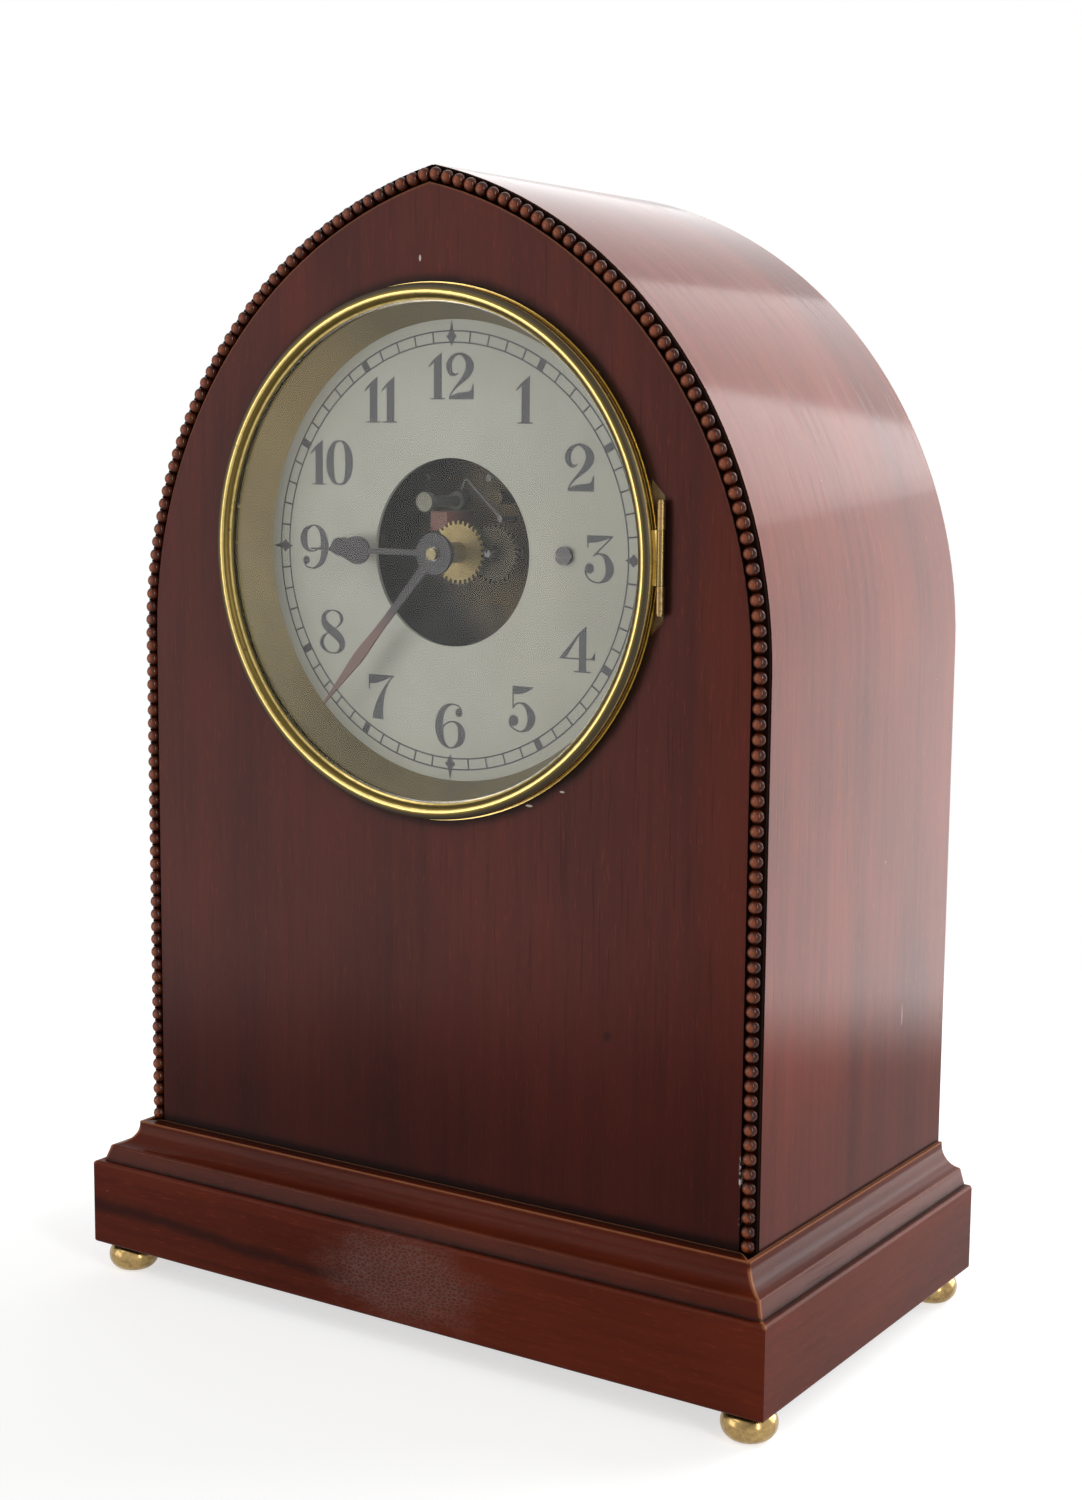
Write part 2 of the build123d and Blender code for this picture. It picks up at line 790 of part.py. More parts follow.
with BuildPart() as bezel_hinge_leaf:
    leaf_outline(0, case_front_y, case_front_y + hinge_leaf_thickness)
    for low, high in ((lower_start, lower_end), (upper_start, upper_end)):
        block((hinge_offset - hinge_knuckle_radius, hinge_y, low), (hinge_offset, case_front_y, high))
        post(hinge_offset, hinge_y, hinge_knuckle_radius, low, high)
    drill(hinge_offset, hinge_y, pin_hole, lower_start, upper_end)
finish(bezel_hinge_leaf, "bezel_hinge_leaf")

with BuildPart() as bezel_hinge_pin:
    post(hinge_offset, hinge_y, hinge_pin_radius, lower_start, upper_end)
    for low, high in ((lower_start - hinge_pin_head, lower_start), (upper_end, upper_end + hinge_pin_head)):
        post(hinge_offset, hinge_y, hinge_pin_head_radius, low, high)
finish(bezel_hinge_pin, "bezel_hinge_pin")

# Depths of the hands and the motion work, from the dial and the front plate
hour_wheel_y = dial_back_y + hour_wheel_gap
hour_wheel_end_y = hour_wheel_y + wheel_thickness
minute_wheel_y = hour_wheel_end_y + minute_wheel_gap
minute_wheel_end_y = minute_wheel_y + wheel_thickness
hour_hand_y = panel_back_y - hour_hand_depth
minute_hub_y = panel_back_y - minute_hand_depth
minute_hub_end_y = minute_hub_y + minute_hub_thickness
cannon_y = minute_wheel_y - pinion_margin / 2
cannon_end_y = minute_wheel_end_y + pinion_margin / 2
motion_distance = motion_module * (cannon_teeth + minute_wheel_teeth) / 2


def hand_plane(angle, depth):
    """Plane of a hand at a depth: local x points along the hand."""
    turn = math.radians(angle)
    return Plane(origin=(0, depth, dial_z), x_dir=(math.cos(turn), 0, math.sin(turn)), z_dir=(0, -1, 0))


# Minute hand: a hub disc and a slim leaf, on the front of the cannon pipe
with BuildPart() as minute_hand:
    minute_hand_length = sight_ring_back_radius * minute_hand_share
    leaf_points = [
        (minute_hand_length * reach, minute_leaf_width / 2 * width)
        for reach, width in zip(minute_reach_shares, minute_width_shares)
    ]
    with BuildSketch(hand_plane(minute_hand_angle, minute_hub_end_y - hand_thickness)):
        with BuildLine():
            Spline(*leaf_points)
            Line(leaf_points[-1], (leaf_points[-1][0], -leaf_points[-1][1]))
            Spline(*[(reach, -width) for reach, width in reversed(leaf_points)])
            Line((leaf_points[0][0], -leaf_points[0][1]), leaf_points[0])
        make_face()
    extrude(amount=-hand_thickness)
    bar(0, dial_z, minute_hub_radius, minute_hub_y, minute_hub_end_y)
    hub_hole = cannon_pipe_radius + running_clearance
    bore(0, dial_z, hub_hole, minute_hub_y, minute_hub_end_y)
finish(minute_hand, "minute_hand")

# Hour hand: a straight shaft and a filed spade, fuller above than below, on the hour wheel's pipe
with BuildPart() as hour_hand:
    hour_lobe_distance = sight_ring_back_radius * hour_lobe_share
    flank_run = sight_ring_back_radius * hour_hand_share - hour_lobe_distance
    lower_flank = [(hour_lobe_distance, hour_lobe_radius)] + [
        (hour_lobe_distance + flank_run * reach, hour_lobe_radius * width)
        for reach, width in zip(hour_lower_reach_shares, hour_lower_width_shares)
    ]
    upper_flank = [(hour_lobe_distance, -hour_lobe_radius)] + [
        (hour_lobe_distance + flank_run * reach, -hour_lobe_radius * width)
        for reach, width in zip(hour_upper_reach_shares, hour_upper_width_shares)
    ]
    tip_reach = hour_lobe_distance + flank_run
    tip_half = hour_tip_width / 2
    with BuildSketch(hand_plane(hour_hand_angle, hour_hand_y)):
        with BuildLine():
            Spline(*lower_flank)
            Polyline(lower_flank[-1], (tip_reach, tip_half), (tip_reach, -tip_half), upper_flank[-1])
            Spline(*upper_flank)
            Line(upper_flank[0], lower_flank[0])
        make_face()
        with Locations((hour_lobe_distance, 0)):
            Circle(hour_lobe_radius)
        with Locations((hour_lobe_distance / 2, 0)):
            Rectangle(hour_lobe_distance, hour_shaft_width)
        Circle(hour_boss_radius)
        Circle(hour_pipe_radius + running_clearance, mode=Mode.SUBTRACT)
    extrude(amount=-hand_thickness)
finish(hour_hand, "hour_hand")

# Hour wheel with the pipe that carries the hour hand
with BuildPart() as hour_wheel:
    toothed(hour_wheel_teeth, motion_module, 0, dial_z, 0, hour_wheel_y, hour_wheel_end_y)
    bar(0, dial_z, hour_pipe_radius, hour_hand_y, hour_wheel_end_y)
    pipe_bore = cannon_pipe_radius + pipe_clearance
    bore(0, dial_z, pipe_bore, hour_hand_y, hour_wheel_end_y)
finish(hour_wheel, "hour_wheel")

# Cannon pinion: ten leaves and a long pipe through the hour wheel to the minute hand
with BuildPart() as cannon_pinion:
    toothed(cannon_teeth, motion_module, 0, dial_z, 0, cannon_y, cannon_end_y)
    bar(0, dial_z, cannon_pipe_radius, minute_hub_y, cannon_end_y)
    cannon_bore = centre_arbor_radius + running_clearance
    bore(0, dial_z, cannon_bore, minute_hub_y, cannon_end_y)
finish(cannon_pinion, "cannon_pinion")

# Minute wheel and pinion, in one piece, on a stud of the front plate
with BuildPart() as minute_wheel:
    wheel_phase = 180 + 180 / minute_wheel_teeth
    pinion_phase = 180 + 180 / minute_pinion_teeth
    pinion_front_y = hour_wheel_y - pinion_front_margin
    wheel_depths = (minute_wheel_y, minute_wheel_end_y)
    pinion_depths = (pinion_front_y, minute_wheel_y)
    toothed(minute_wheel_teeth, motion_module, motion_distance, dial_z, wheel_phase, *wheel_depths)
    toothed(minute_pinion_teeth, motion_module, motion_distance, dial_z, pinion_phase, *pinion_depths)
    stud_bore = arbor_radius + running_clearance
    bore(motion_distance, dial_z, stud_bore, pinion_front_y, minute_wheel_end_y)
finish(minute_wheel, "minute_wheel")

with BuildPart() as minute_stud:
    bar(motion_distance, dial_z, arbor_radius, pinion_front_y - pinion_front_margin, plate_front_y)
    collar_y = minute_wheel_end_y + pipe_clearance
    bar(motion_distance, dial_z, stud_collar_radius, collar_y, plate_front_y)
finish(minute_stud, "minute_stud")

# Centre arbor and wheel, third wheel and count wheel, between the plates
centre_wheel_y = plate_inner_y + centre_wheel_level
centre_wheel_end_y = centre_wheel_y + wheel_thickness
third_wheel_y = plate_inner_y + third_wheel_level
third_wheel_end_y = third_wheel_y + wheel_thickness
count_wheel_y = plate_inner_y + count_wheel_level
third_distance = centre_module * (train_wheel_teeth + train_pinion_teeth) / 2
third_x, third_z = polar(0, dial_z, third_distance, third_angle)
count_distance = third_module * (train_wheel_teeth + train_pinion_teeth) / 2
count_x, count_z = polar(third_x, third_z, count_distance, count_angle)
pivot_start_y = plate_front_y + running_clearance
pivot_end_y = back_plate_end_y - running_clearance
lever_z = dial_z + lever_rise


def crossings(x, z, circle, radius, depth):
    """Round windows that lighten a wheel whose front is at a depth."""
    for index in range(crossing_count):
        place = polar(x, z, circle, 360 * index / crossing_count)
        bore(*place, radius, depth, depth + wheel_thickness)


with BuildPart() as centre_arbor:
    bar(0, dial_z, centre_arbor_radius, minute_hub_y - arbor_tip, back_plate_end_y)
    bar(0, dial_z, arbor_collar_radius, centre_wheel_end_y, centre_wheel_end_y + arbor_collar)
finish(centre_arbor, "centre_arbor")

with BuildPart() as hand_nut:
    bar(0, dial_z, hand_nut_radius, minute_hub_y - hand_nut_length, minute_hub_y)
    bar(0, dial_z, cannon_bore, minute_hub_y - arbor_tip, minute_hub_y + overrun, mode=Mode.SUBTRACT)
finish(hand_nut, "hand_nut")

with BuildPart() as centre_wheel:
    toothed(train_wheel_teeth, centre_module, 0, dial_z, third_angle, centre_wheel_y, centre_wheel_end_y)
    crossings(0, dial_z, centre_crossing_offset, centre_crossing_radius, centre_wheel_y)
    bore(0, dial_z, cannon_bore, centre_wheel_y, centre_wheel_end_y)
finish(centre_wheel, "centre_wheel")

with BuildPart() as third_wheel:
    third_pinion_phase = third_angle + 180 + 180 / train_pinion_teeth
    toothed(
        train_pinion_teeth,
        centre_module,
        third_x,
        third_z,
        third_pinion_phase,
        centre_wheel_y - pinion_margin,
        centre_wheel_end_y + pinion_margin,
    )
    wheel_depths = (third_wheel_y, third_wheel_end_y)
    toothed(train_wheel_teeth, third_module, third_x, third_z, count_angle, *wheel_depths)
    crossings(third_x, third_z, third_crossing_offset, third_crossing_radius, third_wheel_y)
    bar(third_x, third_z, arbor_radius, pivot_start_y, pivot_end_y)
finish(third_wheel, "third_wheel")

with BuildPart() as count_wheel:
    count_pinion_phase = count_angle + 180 + 180 / train_pinion_teeth
    toothed(
        train_pinion_teeth,
        third_module,
        count_x,
        count_z,
        count_pinion_phase,
        third_wheel_y - pinion_margin,
        third_wheel_end_y + pinion_margin,
    )
    ratchet_points = []
    ratchet_root = ratchet_radius - ratchet_tooth_depth
    for tooth in range(train_wheel_teeth):
        for radius, lean in ((ratchet_root, 0), (ratchet_radius, ratchet_lean_share)):
            tooth_angle = 360 * (tooth + lean) / train_wheel_teeth
            ratchet_points.append(polar(count_x, count_z, radius, tooth_angle))
    with BuildSketch(facing(count_wheel_y)):
        with BuildLine():
            Polyline(*ratchet_points, close=True)
        make_face()
    extrude(amount=-wheel_thickness)
    crossings(count_x, count_z, third_crossing_offset, third_crossing_radius, count_wheel_y)
    bar(count_x, count_z, arbor_radius, pivot_start_y, pivot_end_y)
finish(count_wheel, "count_wheel")

# Movement plates, with the dial pillars riveted to the front one, held apart by four pillars
plate_half = plate_width / 2
plate_low = dial_z - plate_drop
plate_high = dial_z + plate_rise
pillar_x = plate_half - pillar_inset
pillar_places = [
    (side * pillar_x, height)
    for side in (-1, 1)
    for height in (plate_low + pillar_inset, plate_high - pillar_inset)
]
stand_screw_places = [(side * stand_screw_spread, dial_z - stand_screw_drop) for side in (-1, 1)]
cock_screw_places = [(side * cock_screw_spread, pivot_z - cock_height / 2) for side in (-1, 1)]
arbor_places = [(third_x, third_z), (count_x, count_z), (0, lever_z)]
screw_hole = frame_screw_radius + running_clearance


def plate(front, back):
    """Movement plate with rounded corners, bored for its arbors and pillar screws."""
    with BuildSketch(facing(front)) as face:
        with Locations((0, (plate_low + plate_high) / 2)):
            RectangleRounded(plate_width, plate_high - plate_low, plate_corner)
    extrude(face.sketch, amount=front - back)
    for place in arbor_places:
        bore(*place, arbor_radius + running_clearance, front, back)
    bore(0, dial_z, cannon_bore, front, back)
    for place in pillar_places:
        bore(*place, screw_hole, front, back)


with BuildPart() as front_plate:
    plate(plate_front_y, plate_inner_y)
    for place in stand_screw_places:
        bore(*place, screw_hole, plate_front_y, plate_inner_y)
    for side in (-1, 1):
        pillar_place = (side * dial_screw_offset, dial_screw_z)
        bar(*pillar_place, dial_pillar_radius, dial_back_y, plate_front_y)
        bar(*pillar_place, dial_screw_hole, dial_back_y, plate_front_y, mode=Mode.SUBTRACT)
    stop_stud_place = (stop_stud_offset, dial_z + stop_stud_rise)
    bar(*stop_stud_place, stop_stud_radius, plate_front_y - stop_stud_length, plate_front_y)
finish(front_plate, "front_plate")

with BuildPart() as back_plate:
    plate(back_plate_y, back_plate_end_y)
    for place in cock_screw_places:
        bore(*place, screw_hole, back_plate_y, back_plate_end_y)
finish(back_plate, "back_plate")

with BuildPart() as plate_pillars:
    for place in pillar_places:
        bar(*place, pillar_radius, plate_inner_y, back_plate_y)
        bore(*place, screw_hole, plate_inner_y, back_plate_y)
finish(plate_pillars, "plate_pillars")

with BuildPart() as frame_screws:
    for place in pillar_places + stand_screw_places:
        bar(*place, frame_screw_radius, plate_front_y, plate_front_y + frame_screw_length)
        bar(*place, frame_screw_head_radius, plate_front_y - frame_screw_head, plate_front_y)
    for place in pillar_places:
        bar(*place, frame_screw_radius, back_plate_end_y - frame_screw_length, back_plate_end_y)
        bar(*place, frame_screw_head_radius, back_plate_end_y, back_plate_end_y + frame_screw_head)
    for place in cock_screw_places:
        cock_seat_y = back_plate_end_y + cock_plate
        bar(*place, frame_screw_radius, back_plate_y, cock_seat_y)
        bar(*place, frame_screw_head_radius, cock_seat_y, cock_seat_y + frame_screw_head)
finish(frame_screws, "frame_screws")

# Stand: a cast post and foot that carry the movement on the base board
stand_y = plate_inner_y
stand_back_y = stand_y + stand_thickness
stand_foot_front_y = (stand_y + stand_back_y - stand_foot_depth) / 2
stand_foot_back_y = stand_foot_front_y + stand_foot_depth
stand_foot_top = plinth_top + stand_foot_thickness
foot_screw_places = [
    (side * (stand_foot_width / 2 - wood_screw_inset), depth)
    for side in (-1, 1)
    for depth in (stand_foot_front_y + wood_screw_inset, stand_foot_back_y - wood_screw_inset)
]

with BuildPart() as movement_stand:
    block(
        (-stand_foot_width / 2, stand_foot_front_y, plinth_top),
        (stand_foot_width / 2, stand_foot_back_y, stand_foot_top),
    )
    stand_half = stand_width / 2
    stand_top = dial_z - stand_top_drop
    block((-stand_half, stand_y, stand_foot_top), (stand_half, stand_back_y, stand_top))
    root_faces = movement_stand.faces().filter_by(Axis.Z).group_by(Axis.Z)[1]
    fillet(root_faces[0].inner_wires()[0].edges(), radius=stand_fillet)
    for place in stand_screw_places:
        bar(*place, screw_hole, stand_y - overrun, stand_y + frame_screw_length, mode=Mode.SUBTRACT)
    for place in foot_screw_places:
        hole_radius = wood_screw_radius + running_clearance
        drill(*place, hole_radius, plinth_top, stand_foot_top)
finish(movement_stand, "movement_stand")

# Contact post, insulating block and contact springs, seen through the open centre of the dial
post_x = -post_offset
post_z = dial_z + post_rise
post_front_y = plate_front_y - post_length

with BuildPart() as contact_post:
    bar(post_x, post_z, post_radius, post_front_y, plate_front_y)
    bar(post_x, post_z, post_flange_radius, post_front_y, post_front_y + post_flange)
    bar(post_x, post_z, post_flange_radius, plate_front_y - post_flange, plate_front_y)
finish(contact_post, "contact_post")

with BuildPart() as insulating_block:
    block_top = post_z - post_flange_radius - pipe_clearance
    block(
        (-block_left, plate_front_y - block_length, block_top - block_height),
        (block_width - block_left, plate_front_y, block_top),
    )
finish(insulating_block, "insulating_block")

with BuildPart() as contact_springs:
    stud_z = dial_z + spring_stud_rise
    bar(spring_stud_offset, stud_z, spring_stud_radius, plate_front_y - spring_stud_length, plate_front_y)
    long_y = plate_front_y - long_spring_level
    short_y = plate_front_y - short_spring_level
    long_tip_x = spring_stud_offset - long_spring_run
    long_tip_z = stud_z + long_spring_rise
    with BuildLine() as long_path:
        FilletPolyline(
            (spring_stud_offset, long_y, stud_z),
            (long_tip_x, long_y, long_tip_z),
            (long_tip_x - long_spring_hook / 2, long_y, long_tip_z - long_spring_hook),
            radius=long_spring_hook / 4,
        )
    with BuildSketch(Plane(origin=long_path.line @ 0, z_dir=long_path.line % 0)) as long_wire:
        Circle(spring_wire_radius)
    sweep(long_wire.sketch, path=long_path.line)
    with BuildLine() as short_path:
        Line(
            (spring_stud_offset, short_y, stud_z),
            (spring_stud_offset - short_spring_run, short_y, stud_z + short_spring_rise),
        )
    with BuildSketch(Plane(origin=short_path.line @ 0, z_dir=short_path.line % 0)) as short_wire:
        Circle(spring_wire_radius)
    sweep(short_wire.sketch, path=short_path.line)
finish(contact_springs, "contact_springs")

# Contact lever: an arbor with a pawl arm over the count wheel, a fork round the pendulum's drive pin
# and a round tail above that balances the fork
with BuildPart() as contact_lever:
    fork_y = back_plate_end_y + fork_gap
    fork_end_y = fork_y + lever_arm_thickness
    fork_foot = lever_z - fork_drop
    tail_z = lever_z + tail_rise
    pawl_end_y = count_wheel_y + lever_arm_thickness
    bar(0, lever_z, arbor_radius, pivot_start_y, fork_end_y)
    bar(0, lever_z, lever_hub_radius, count_wheel_y, pawl_end_y)
    pawl_half = pawl_width / 2
    block((-pawl_reach, count_wheel_y, lever_z - pawl_half), (0, pawl_end_y, lever_z + pawl_half))
    bar(0, tail_z, tail_radius, fork_y, fork_end_y)
    block((-fork_width / 2, fork_y, fork_foot), (fork_width / 2, fork_end_y, tail_z))
    block(
        (-fork_slot / 2, fork_y - overrun, fork_foot - overrun),
        (fork_slot / 2, fork_end_y + overrun, fork_foot + fork_slot_length),
        mode=Mode.SUBTRACT,
    )
finish(contact_lever, "contact_lever")

# Suspension cock: a brass bracket on the back plate, slotted for the suspension spring
with BuildPart() as suspension_cock:
    cock_half = cock_width / 2
    cock_end_y = pendulum_y + spring_width / 2 + cock_margin
    cock_flange_y = back_plate_end_y + cock_plate
    block((-cock_half, back_plate_end_y, pivot_z), (cock_half, cock_end_y, pivot_z + cock_height))
    block((-cock_half, back_plate_end_y, pivot_z - cock_height), (cock_half, cock_flange_y, pivot_z))
    slot_half = (spring_width + cock_margin) / 2
    block(
        (-cock_slot / 2, pendulum_y - slot_half, pivot_z - overrun),
        (cock_slot / 2, pendulum_y + slot_half, pivot_z + cock_height + overrun),
        mode=Mode.SUBTRACT,
    )
    for place in cock_screw_places:
        bore(*place, screw_hole, back_plate_end_y, cock_flange_y)
finish(suspension_cock, "suspension_cock")

# Pendulum: suspension spring, rod with drive pin, coil on its bobbin, hanger and rating nut
spring_foot = pivot_z + spring_grip - spring_length
spring_half = spring_width / 2

with BuildPart() as suspension_spring:
    block(
        (-spring_thickness / 2, pendulum_y - spring_half, spring_foot),
        (spring_thickness / 2, pendulum_y + spring_half, pivot_z + spring_grip),
    )
finish(suspension_spring, "suspension_spring")

with BuildPart() as pendulum_rod:
    rod_end = coil_z + winding_radius + rod_end_gap
    top_block_foot = spring_foot - top_block_height / 3
    top_block_half = spring_half + top_block_width / 4
    post(0, pendulum_y, rod_radius, rod_end, top_block_foot)
    block(
        (-top_block_width / 2, pendulum_y - top_block_half, top_block_foot),
        (top_block_width / 2, pendulum_y + top_block_half, top_block_foot + top_block_height),
    )
    clip_half = spring_thickness / 2 + clip_clearance
    block(
        (-clip_half, pendulum_y - spring_half - clip_clearance, spring_foot - clip_clearance),
        (clip_half, pendulum_y + spring_half + clip_clearance, pivot_z),
        mode=Mode.SUBTRACT,
    )
    drive_pin_z = pivot_z - drive_pin_drop
    bar(0, drive_pin_z, drive_pin_radius, pendulum_y - drive_pin_length, pendulum_y)
finish(pendulum_rod, "pendulum_rod")


def drum(radius, start, end, mode=Mode.ADD):
    """Round bar along the width, on the axis of the coil."""
    with BuildSketch(Plane.YZ.offset(start)) as face:
        with Locations((pendulum_y, coil_z)):
            Circle(radius)
    extrude(face.sketch, amount=end - start, mode=mode)


bobbin_half = bobbin_length / 2
winding_half = bobbin_half - bobbin_flange
bobbin_tube_radius = bobbin_bore + bobbin_wall

with BuildPart() as coil_bobbin:
    drum(bobbin_tube_radius, -bobbin_half, bobbin_half)
    drum(bobbin_flange_radius, -bobbin_half, -winding_half)
    drum(bobbin_flange_radius, winding_half, bobbin_half)
    drum(bobbin_bore, -bobbin_half - overrun, bobbin_half + overrun, mode=Mode.SUBTRACT)
finish(coil_bobbin, "coil_bobbin")

with BuildPart() as coil_winding:
    drum(winding_radius, -winding_half, winding_half)
    winding_bore = bobbin_tube_radius + winding_clearance
    drum(winding_bore, -winding_half - overrun, winding_half + overrun, mode=Mode.SUBTRACT)
finish(coil_winding, "coil_winding")

with BuildPart() as coil_hanger:
    hanger_half = bobbin_half + hanger_strap
    strap_front_y = pendulum_y - hanger_width / 2
    strap_back_y = pendulum_y + hanger_width / 2
    strap_low = coil_z + hanger_rise
    strap_high = strap_low + hanger_strap
    block((-hanger_half, strap_front_y, strap_low), (hanger_half, strap_back_y, strap_high))
    leg_foot = coil_z + hanger_leg_end
    for leg_x in (-hanger_half, bobbin_half):
        block((leg_x, strap_front_y, leg_foot), (leg_x + hanger_strap, strap_back_y, strap_high))
    rod_hole = rod_radius + running_clearance
    drill(0, pendulum_y, rod_hole, strap_low, strap_high)
finish(coil_hanger, "coil_hanger")

with BuildPart() as rating_nut:
    nut_high = strap_low - nut_gap
    nut_low = nut_high - nut_height
    post(0, pendulum_y, nut_radius, nut_low, nut_high)
    drill(0, pendulum_y, rod_hole, nut_low, nut_high)
    for index in range(nut_knurls):
        groove = polar(0, pendulum_y, nut_radius, 360 * index / nut_knurls)
        drill(*groove, nut_knurl_radius, nut_low, nut_high)
finish(rating_nut, "rating_nut")


# Curved bar magnet through the coil, on the circle the coil swings along, and its two brackets
magnet_end_x = inner_half - magnet_end_gap
magnet_turn = math.asin(magnet_end_x / pendulum_length)
magnet_end_z = pivot_z - pendulum_length * math.cos(magnet_turn)
magnet_end_way = (math.cos(magnet_turn), 0, math.sin(magnet_turn))


def magnet_bar(radius, mode=Mode.ADD):
    """Round bar bent to the pendulum's circle, in the piece being made."""
    swing_axis = Axis((0, 0, pivot_z), (0, 1, 0))
    with BuildSketch(Plane((magnet_end_x, pendulum_y, magnet_end_z), z_dir=magnet_end_way)) as face:
        Circle(radius)
    revolve(face.sketch, axis=swing_axis, revolution_arc=2 * math.degrees(magnet_turn), mode=mode)


with BuildPart() as bar_magnet:
    magnet_bar(magnet_radius)
finish(bar_magnet, "bar_magnet")

bracket_x = magnet_end_x - bracket_inset
bracket_top = pivot_z - math.sqrt(pendulum_length**2 - bracket_x**2) + bracket_rise
bracket_outer_x = bracket_x + bracket_thickness / 2
bracket_screw_x = bracket_outer_x + bracket_foot / 2
bracket_foot_top = plinth_top + bracket_foot_thickness
bracket_front_y = pendulum_y - bracket_width / 2
bracket_back_y = pendulum_y + bracket_width / 2
wood_hole = wood_screw_radius + running_clearance

with BuildPart() as magnet_brackets:
    for side in (-1, 1):
        low_x, high_x = sorted((side * (bracket_outer_x - bracket_thickness), side * bracket_outer_x))
        block((low_x, bracket_front_y, plinth_top), (high_x, bracket_back_y, bracket_top))
        low_x, high_x = sorted((side * bracket_outer_x, side * (bracket_outer_x + bracket_foot)))
        block((low_x, bracket_front_y, plinth_top), (high_x, bracket_back_y, bracket_foot_top))
        drill(side * bracket_screw_x, pendulum_y, wood_hole, plinth_top, bracket_foot_top)
    magnet_bar(magnet_radius + magnet_clearance, mode=Mode.SUBTRACT)
finish(magnet_brackets, "magnet_brackets")

# Dry cell with its terminal, standing on the base board in a spring clip
cell_x = inner_half - cell_side_gap
cell_y = pendulum_y + cell_set_back
cell_top = plinth_top + cell_height
cap_top = cell_top + cell_cap_height

with BuildPart() as dry_cell:
    post(cell_x, cell_y, cell_radius, plinth_top, cell_top)
    rim_edges = dry_cell.edges().filter_by(GeomType.CIRCLE)
    fillet(rim_edges, radius=cell_rim)
    post(cell_x, cell_y, cell_cap_radius, cell_top, cap_top)
    post(cell_x, cell_y, cell_nut_radius, cap_top, cap_top + cell_nut_height)
finish(dry_cell, "dry_cell")

clip_low = plinth_top + clip_rise
clip_foot_x = cell_x + clip_outer
clip_screw_x = clip_foot_x + clip_foot_depth / 2
clip_foot_top = plinth_top + clip_thickness

with BuildPart() as cell_clip:
    half_open = math.radians(clip_open_angle / 2)
    with BuildSketch(Plane.XY.offset(clip_low)):
        with Locations((cell_x, cell_y)):
            Circle(clip_outer)
            Circle(clip_inner, mode=Mode.SUBTRACT)
        with BuildLine():
            mouth_x = cell_x - clip_outer - overrun
            mouth_half = (clip_outer + overrun) * math.tan(half_open)
            Polyline(
                (cell_x, cell_y),
                (mouth_x, cell_y - mouth_half),
                (mouth_x, cell_y + mouth_half),
                close=True,
            )
        make_face(mode=Mode.SUBTRACT)
    extrude(amount=clip_height)
    clip_foot_half = clip_foot_width / 2
    block(
        (clip_foot_x - clip_thickness, cell_y - clip_foot_half, plinth_top),
        (clip_foot_x, cell_y + clip_foot_half, clip_low + clip_height),
    )
    block(
        (clip_foot_x, cell_y - clip_foot_half, plinth_top),
        (clip_foot_x + clip_foot_depth, cell_y + clip_foot_half, clip_foot_top),
    )
    drill(clip_screw_x, cell_y, wood_hole, plinth_top, clip_foot_top)
finish(cell_clip, "cell_clip")

# Wood screws of the stand, the magnet brackets and the cell clip, and the base board bored for them
wood_screw_places = [(x, y, stand_foot_top) for x, y in foot_screw_places]
wood_screw_places += [(side * bracket_screw_x, pendulum_y, bracket_foot_top) for side in (-1, 1)]
wood_screw_places += [(clip_screw_x, cell_y, clip_foot_top)]
wood_screw_tip = plinth_top - wood_screw_length

with BuildPart() as wood_screws:
    for x, y, seat in wood_screw_places:
        post(x, y, wood_screw_radius, wood_screw_tip, seat)
        post(x, y, wood_screw_head_radius, seat, seat + wood_screw_head)
finish(wood_screws, "wood_screws")

with BuildPart() as base_board:
    base_bottom = plinth_top - base_board_thickness
    block((-board_inner, frame_front_y, base_bottom), (board_inner, frame_back_y, plinth_top))
    for x, y, seat in wood_screw_places:
        post(x, y, wood_hole, wood_screw_tip, plinth_top + overrun, mode=Mode.SUBTRACT)
finish(base_board, "base_board")

# Back door: a flat lancet panel in the rebate of the case sides
with BuildPart() as back_door:
    lancet(door_seat_width + door_clearance, plinth_top + door_clearance, door_front_y, plinth_back_y)
    spindle_hole = latch_spindle_radius + latch_spindle_clearance
    bore(latch_x, latch_z, spindle_hole, door_front_y, plinth_back_y)
finish(back_door, "back_door")

# Door hinges: surface leaves on the case, each with its riveted pin, and leaves on the door
door_axis_y = plinth_back_y + door_knuckle_radius + door_knuckle_gap
door_leaf_back_y = plinth_back_y + door_leaf_thickness
door_pin_hole = door_pin_radius + running_clearance
door_hinge_half = door_hinge_length / 2
knuckle_half = door_hinge_length / 6
leaf_clear = door_knuckle_radius + door_leaf_gap
door_hinge_places = [plinth_top + case_side_height * share for share in door_hinge_shares]


def hinge_leaf(near, far, centre, knuckles):
    """Hinge leaf from near to far of the hinge axis, with knuckles at these heights about its centre."""
    near_x, far_x = sorted((near - hinge_half, far - hinge_half))
    leaf_low = centre - door_hinge_half
    leaf_high = centre + door_hinge_half
    block((near_x, plinth_back_y, leaf_low), (far_x, door_leaf_back_y, leaf_high))
    root_x, end_x = sorted((-hinge_half, near - hinge_half))
    for low, high in knuckles:
        block((root_x, plinth_back_y, centre + low), (end_x, door_leaf_back_y, centre + high))
        post(-hinge_half, door_axis_y, door_knuckle_radius, centre + low, centre + high)


with BuildPart() as case_hinge_leaves:
    outer_start = knuckle_half + door_knuckle_play
    outer_knuckles = ((-door_hinge_half, -outer_start), (outer_start, door_hinge_half))
    for centre in door_hinge_places:
        low = centre - door_hinge_half
        high = centre + door_hinge_half
        hinge_leaf(-leaf_clear, hinge_half - case_half + door_leaf_margin, centre, outer_knuckles)
        post(-hinge_half, door_axis_y, door_pin_radius, low, high)
finish(case_hinge_leaves, "case_hinge_leaves")

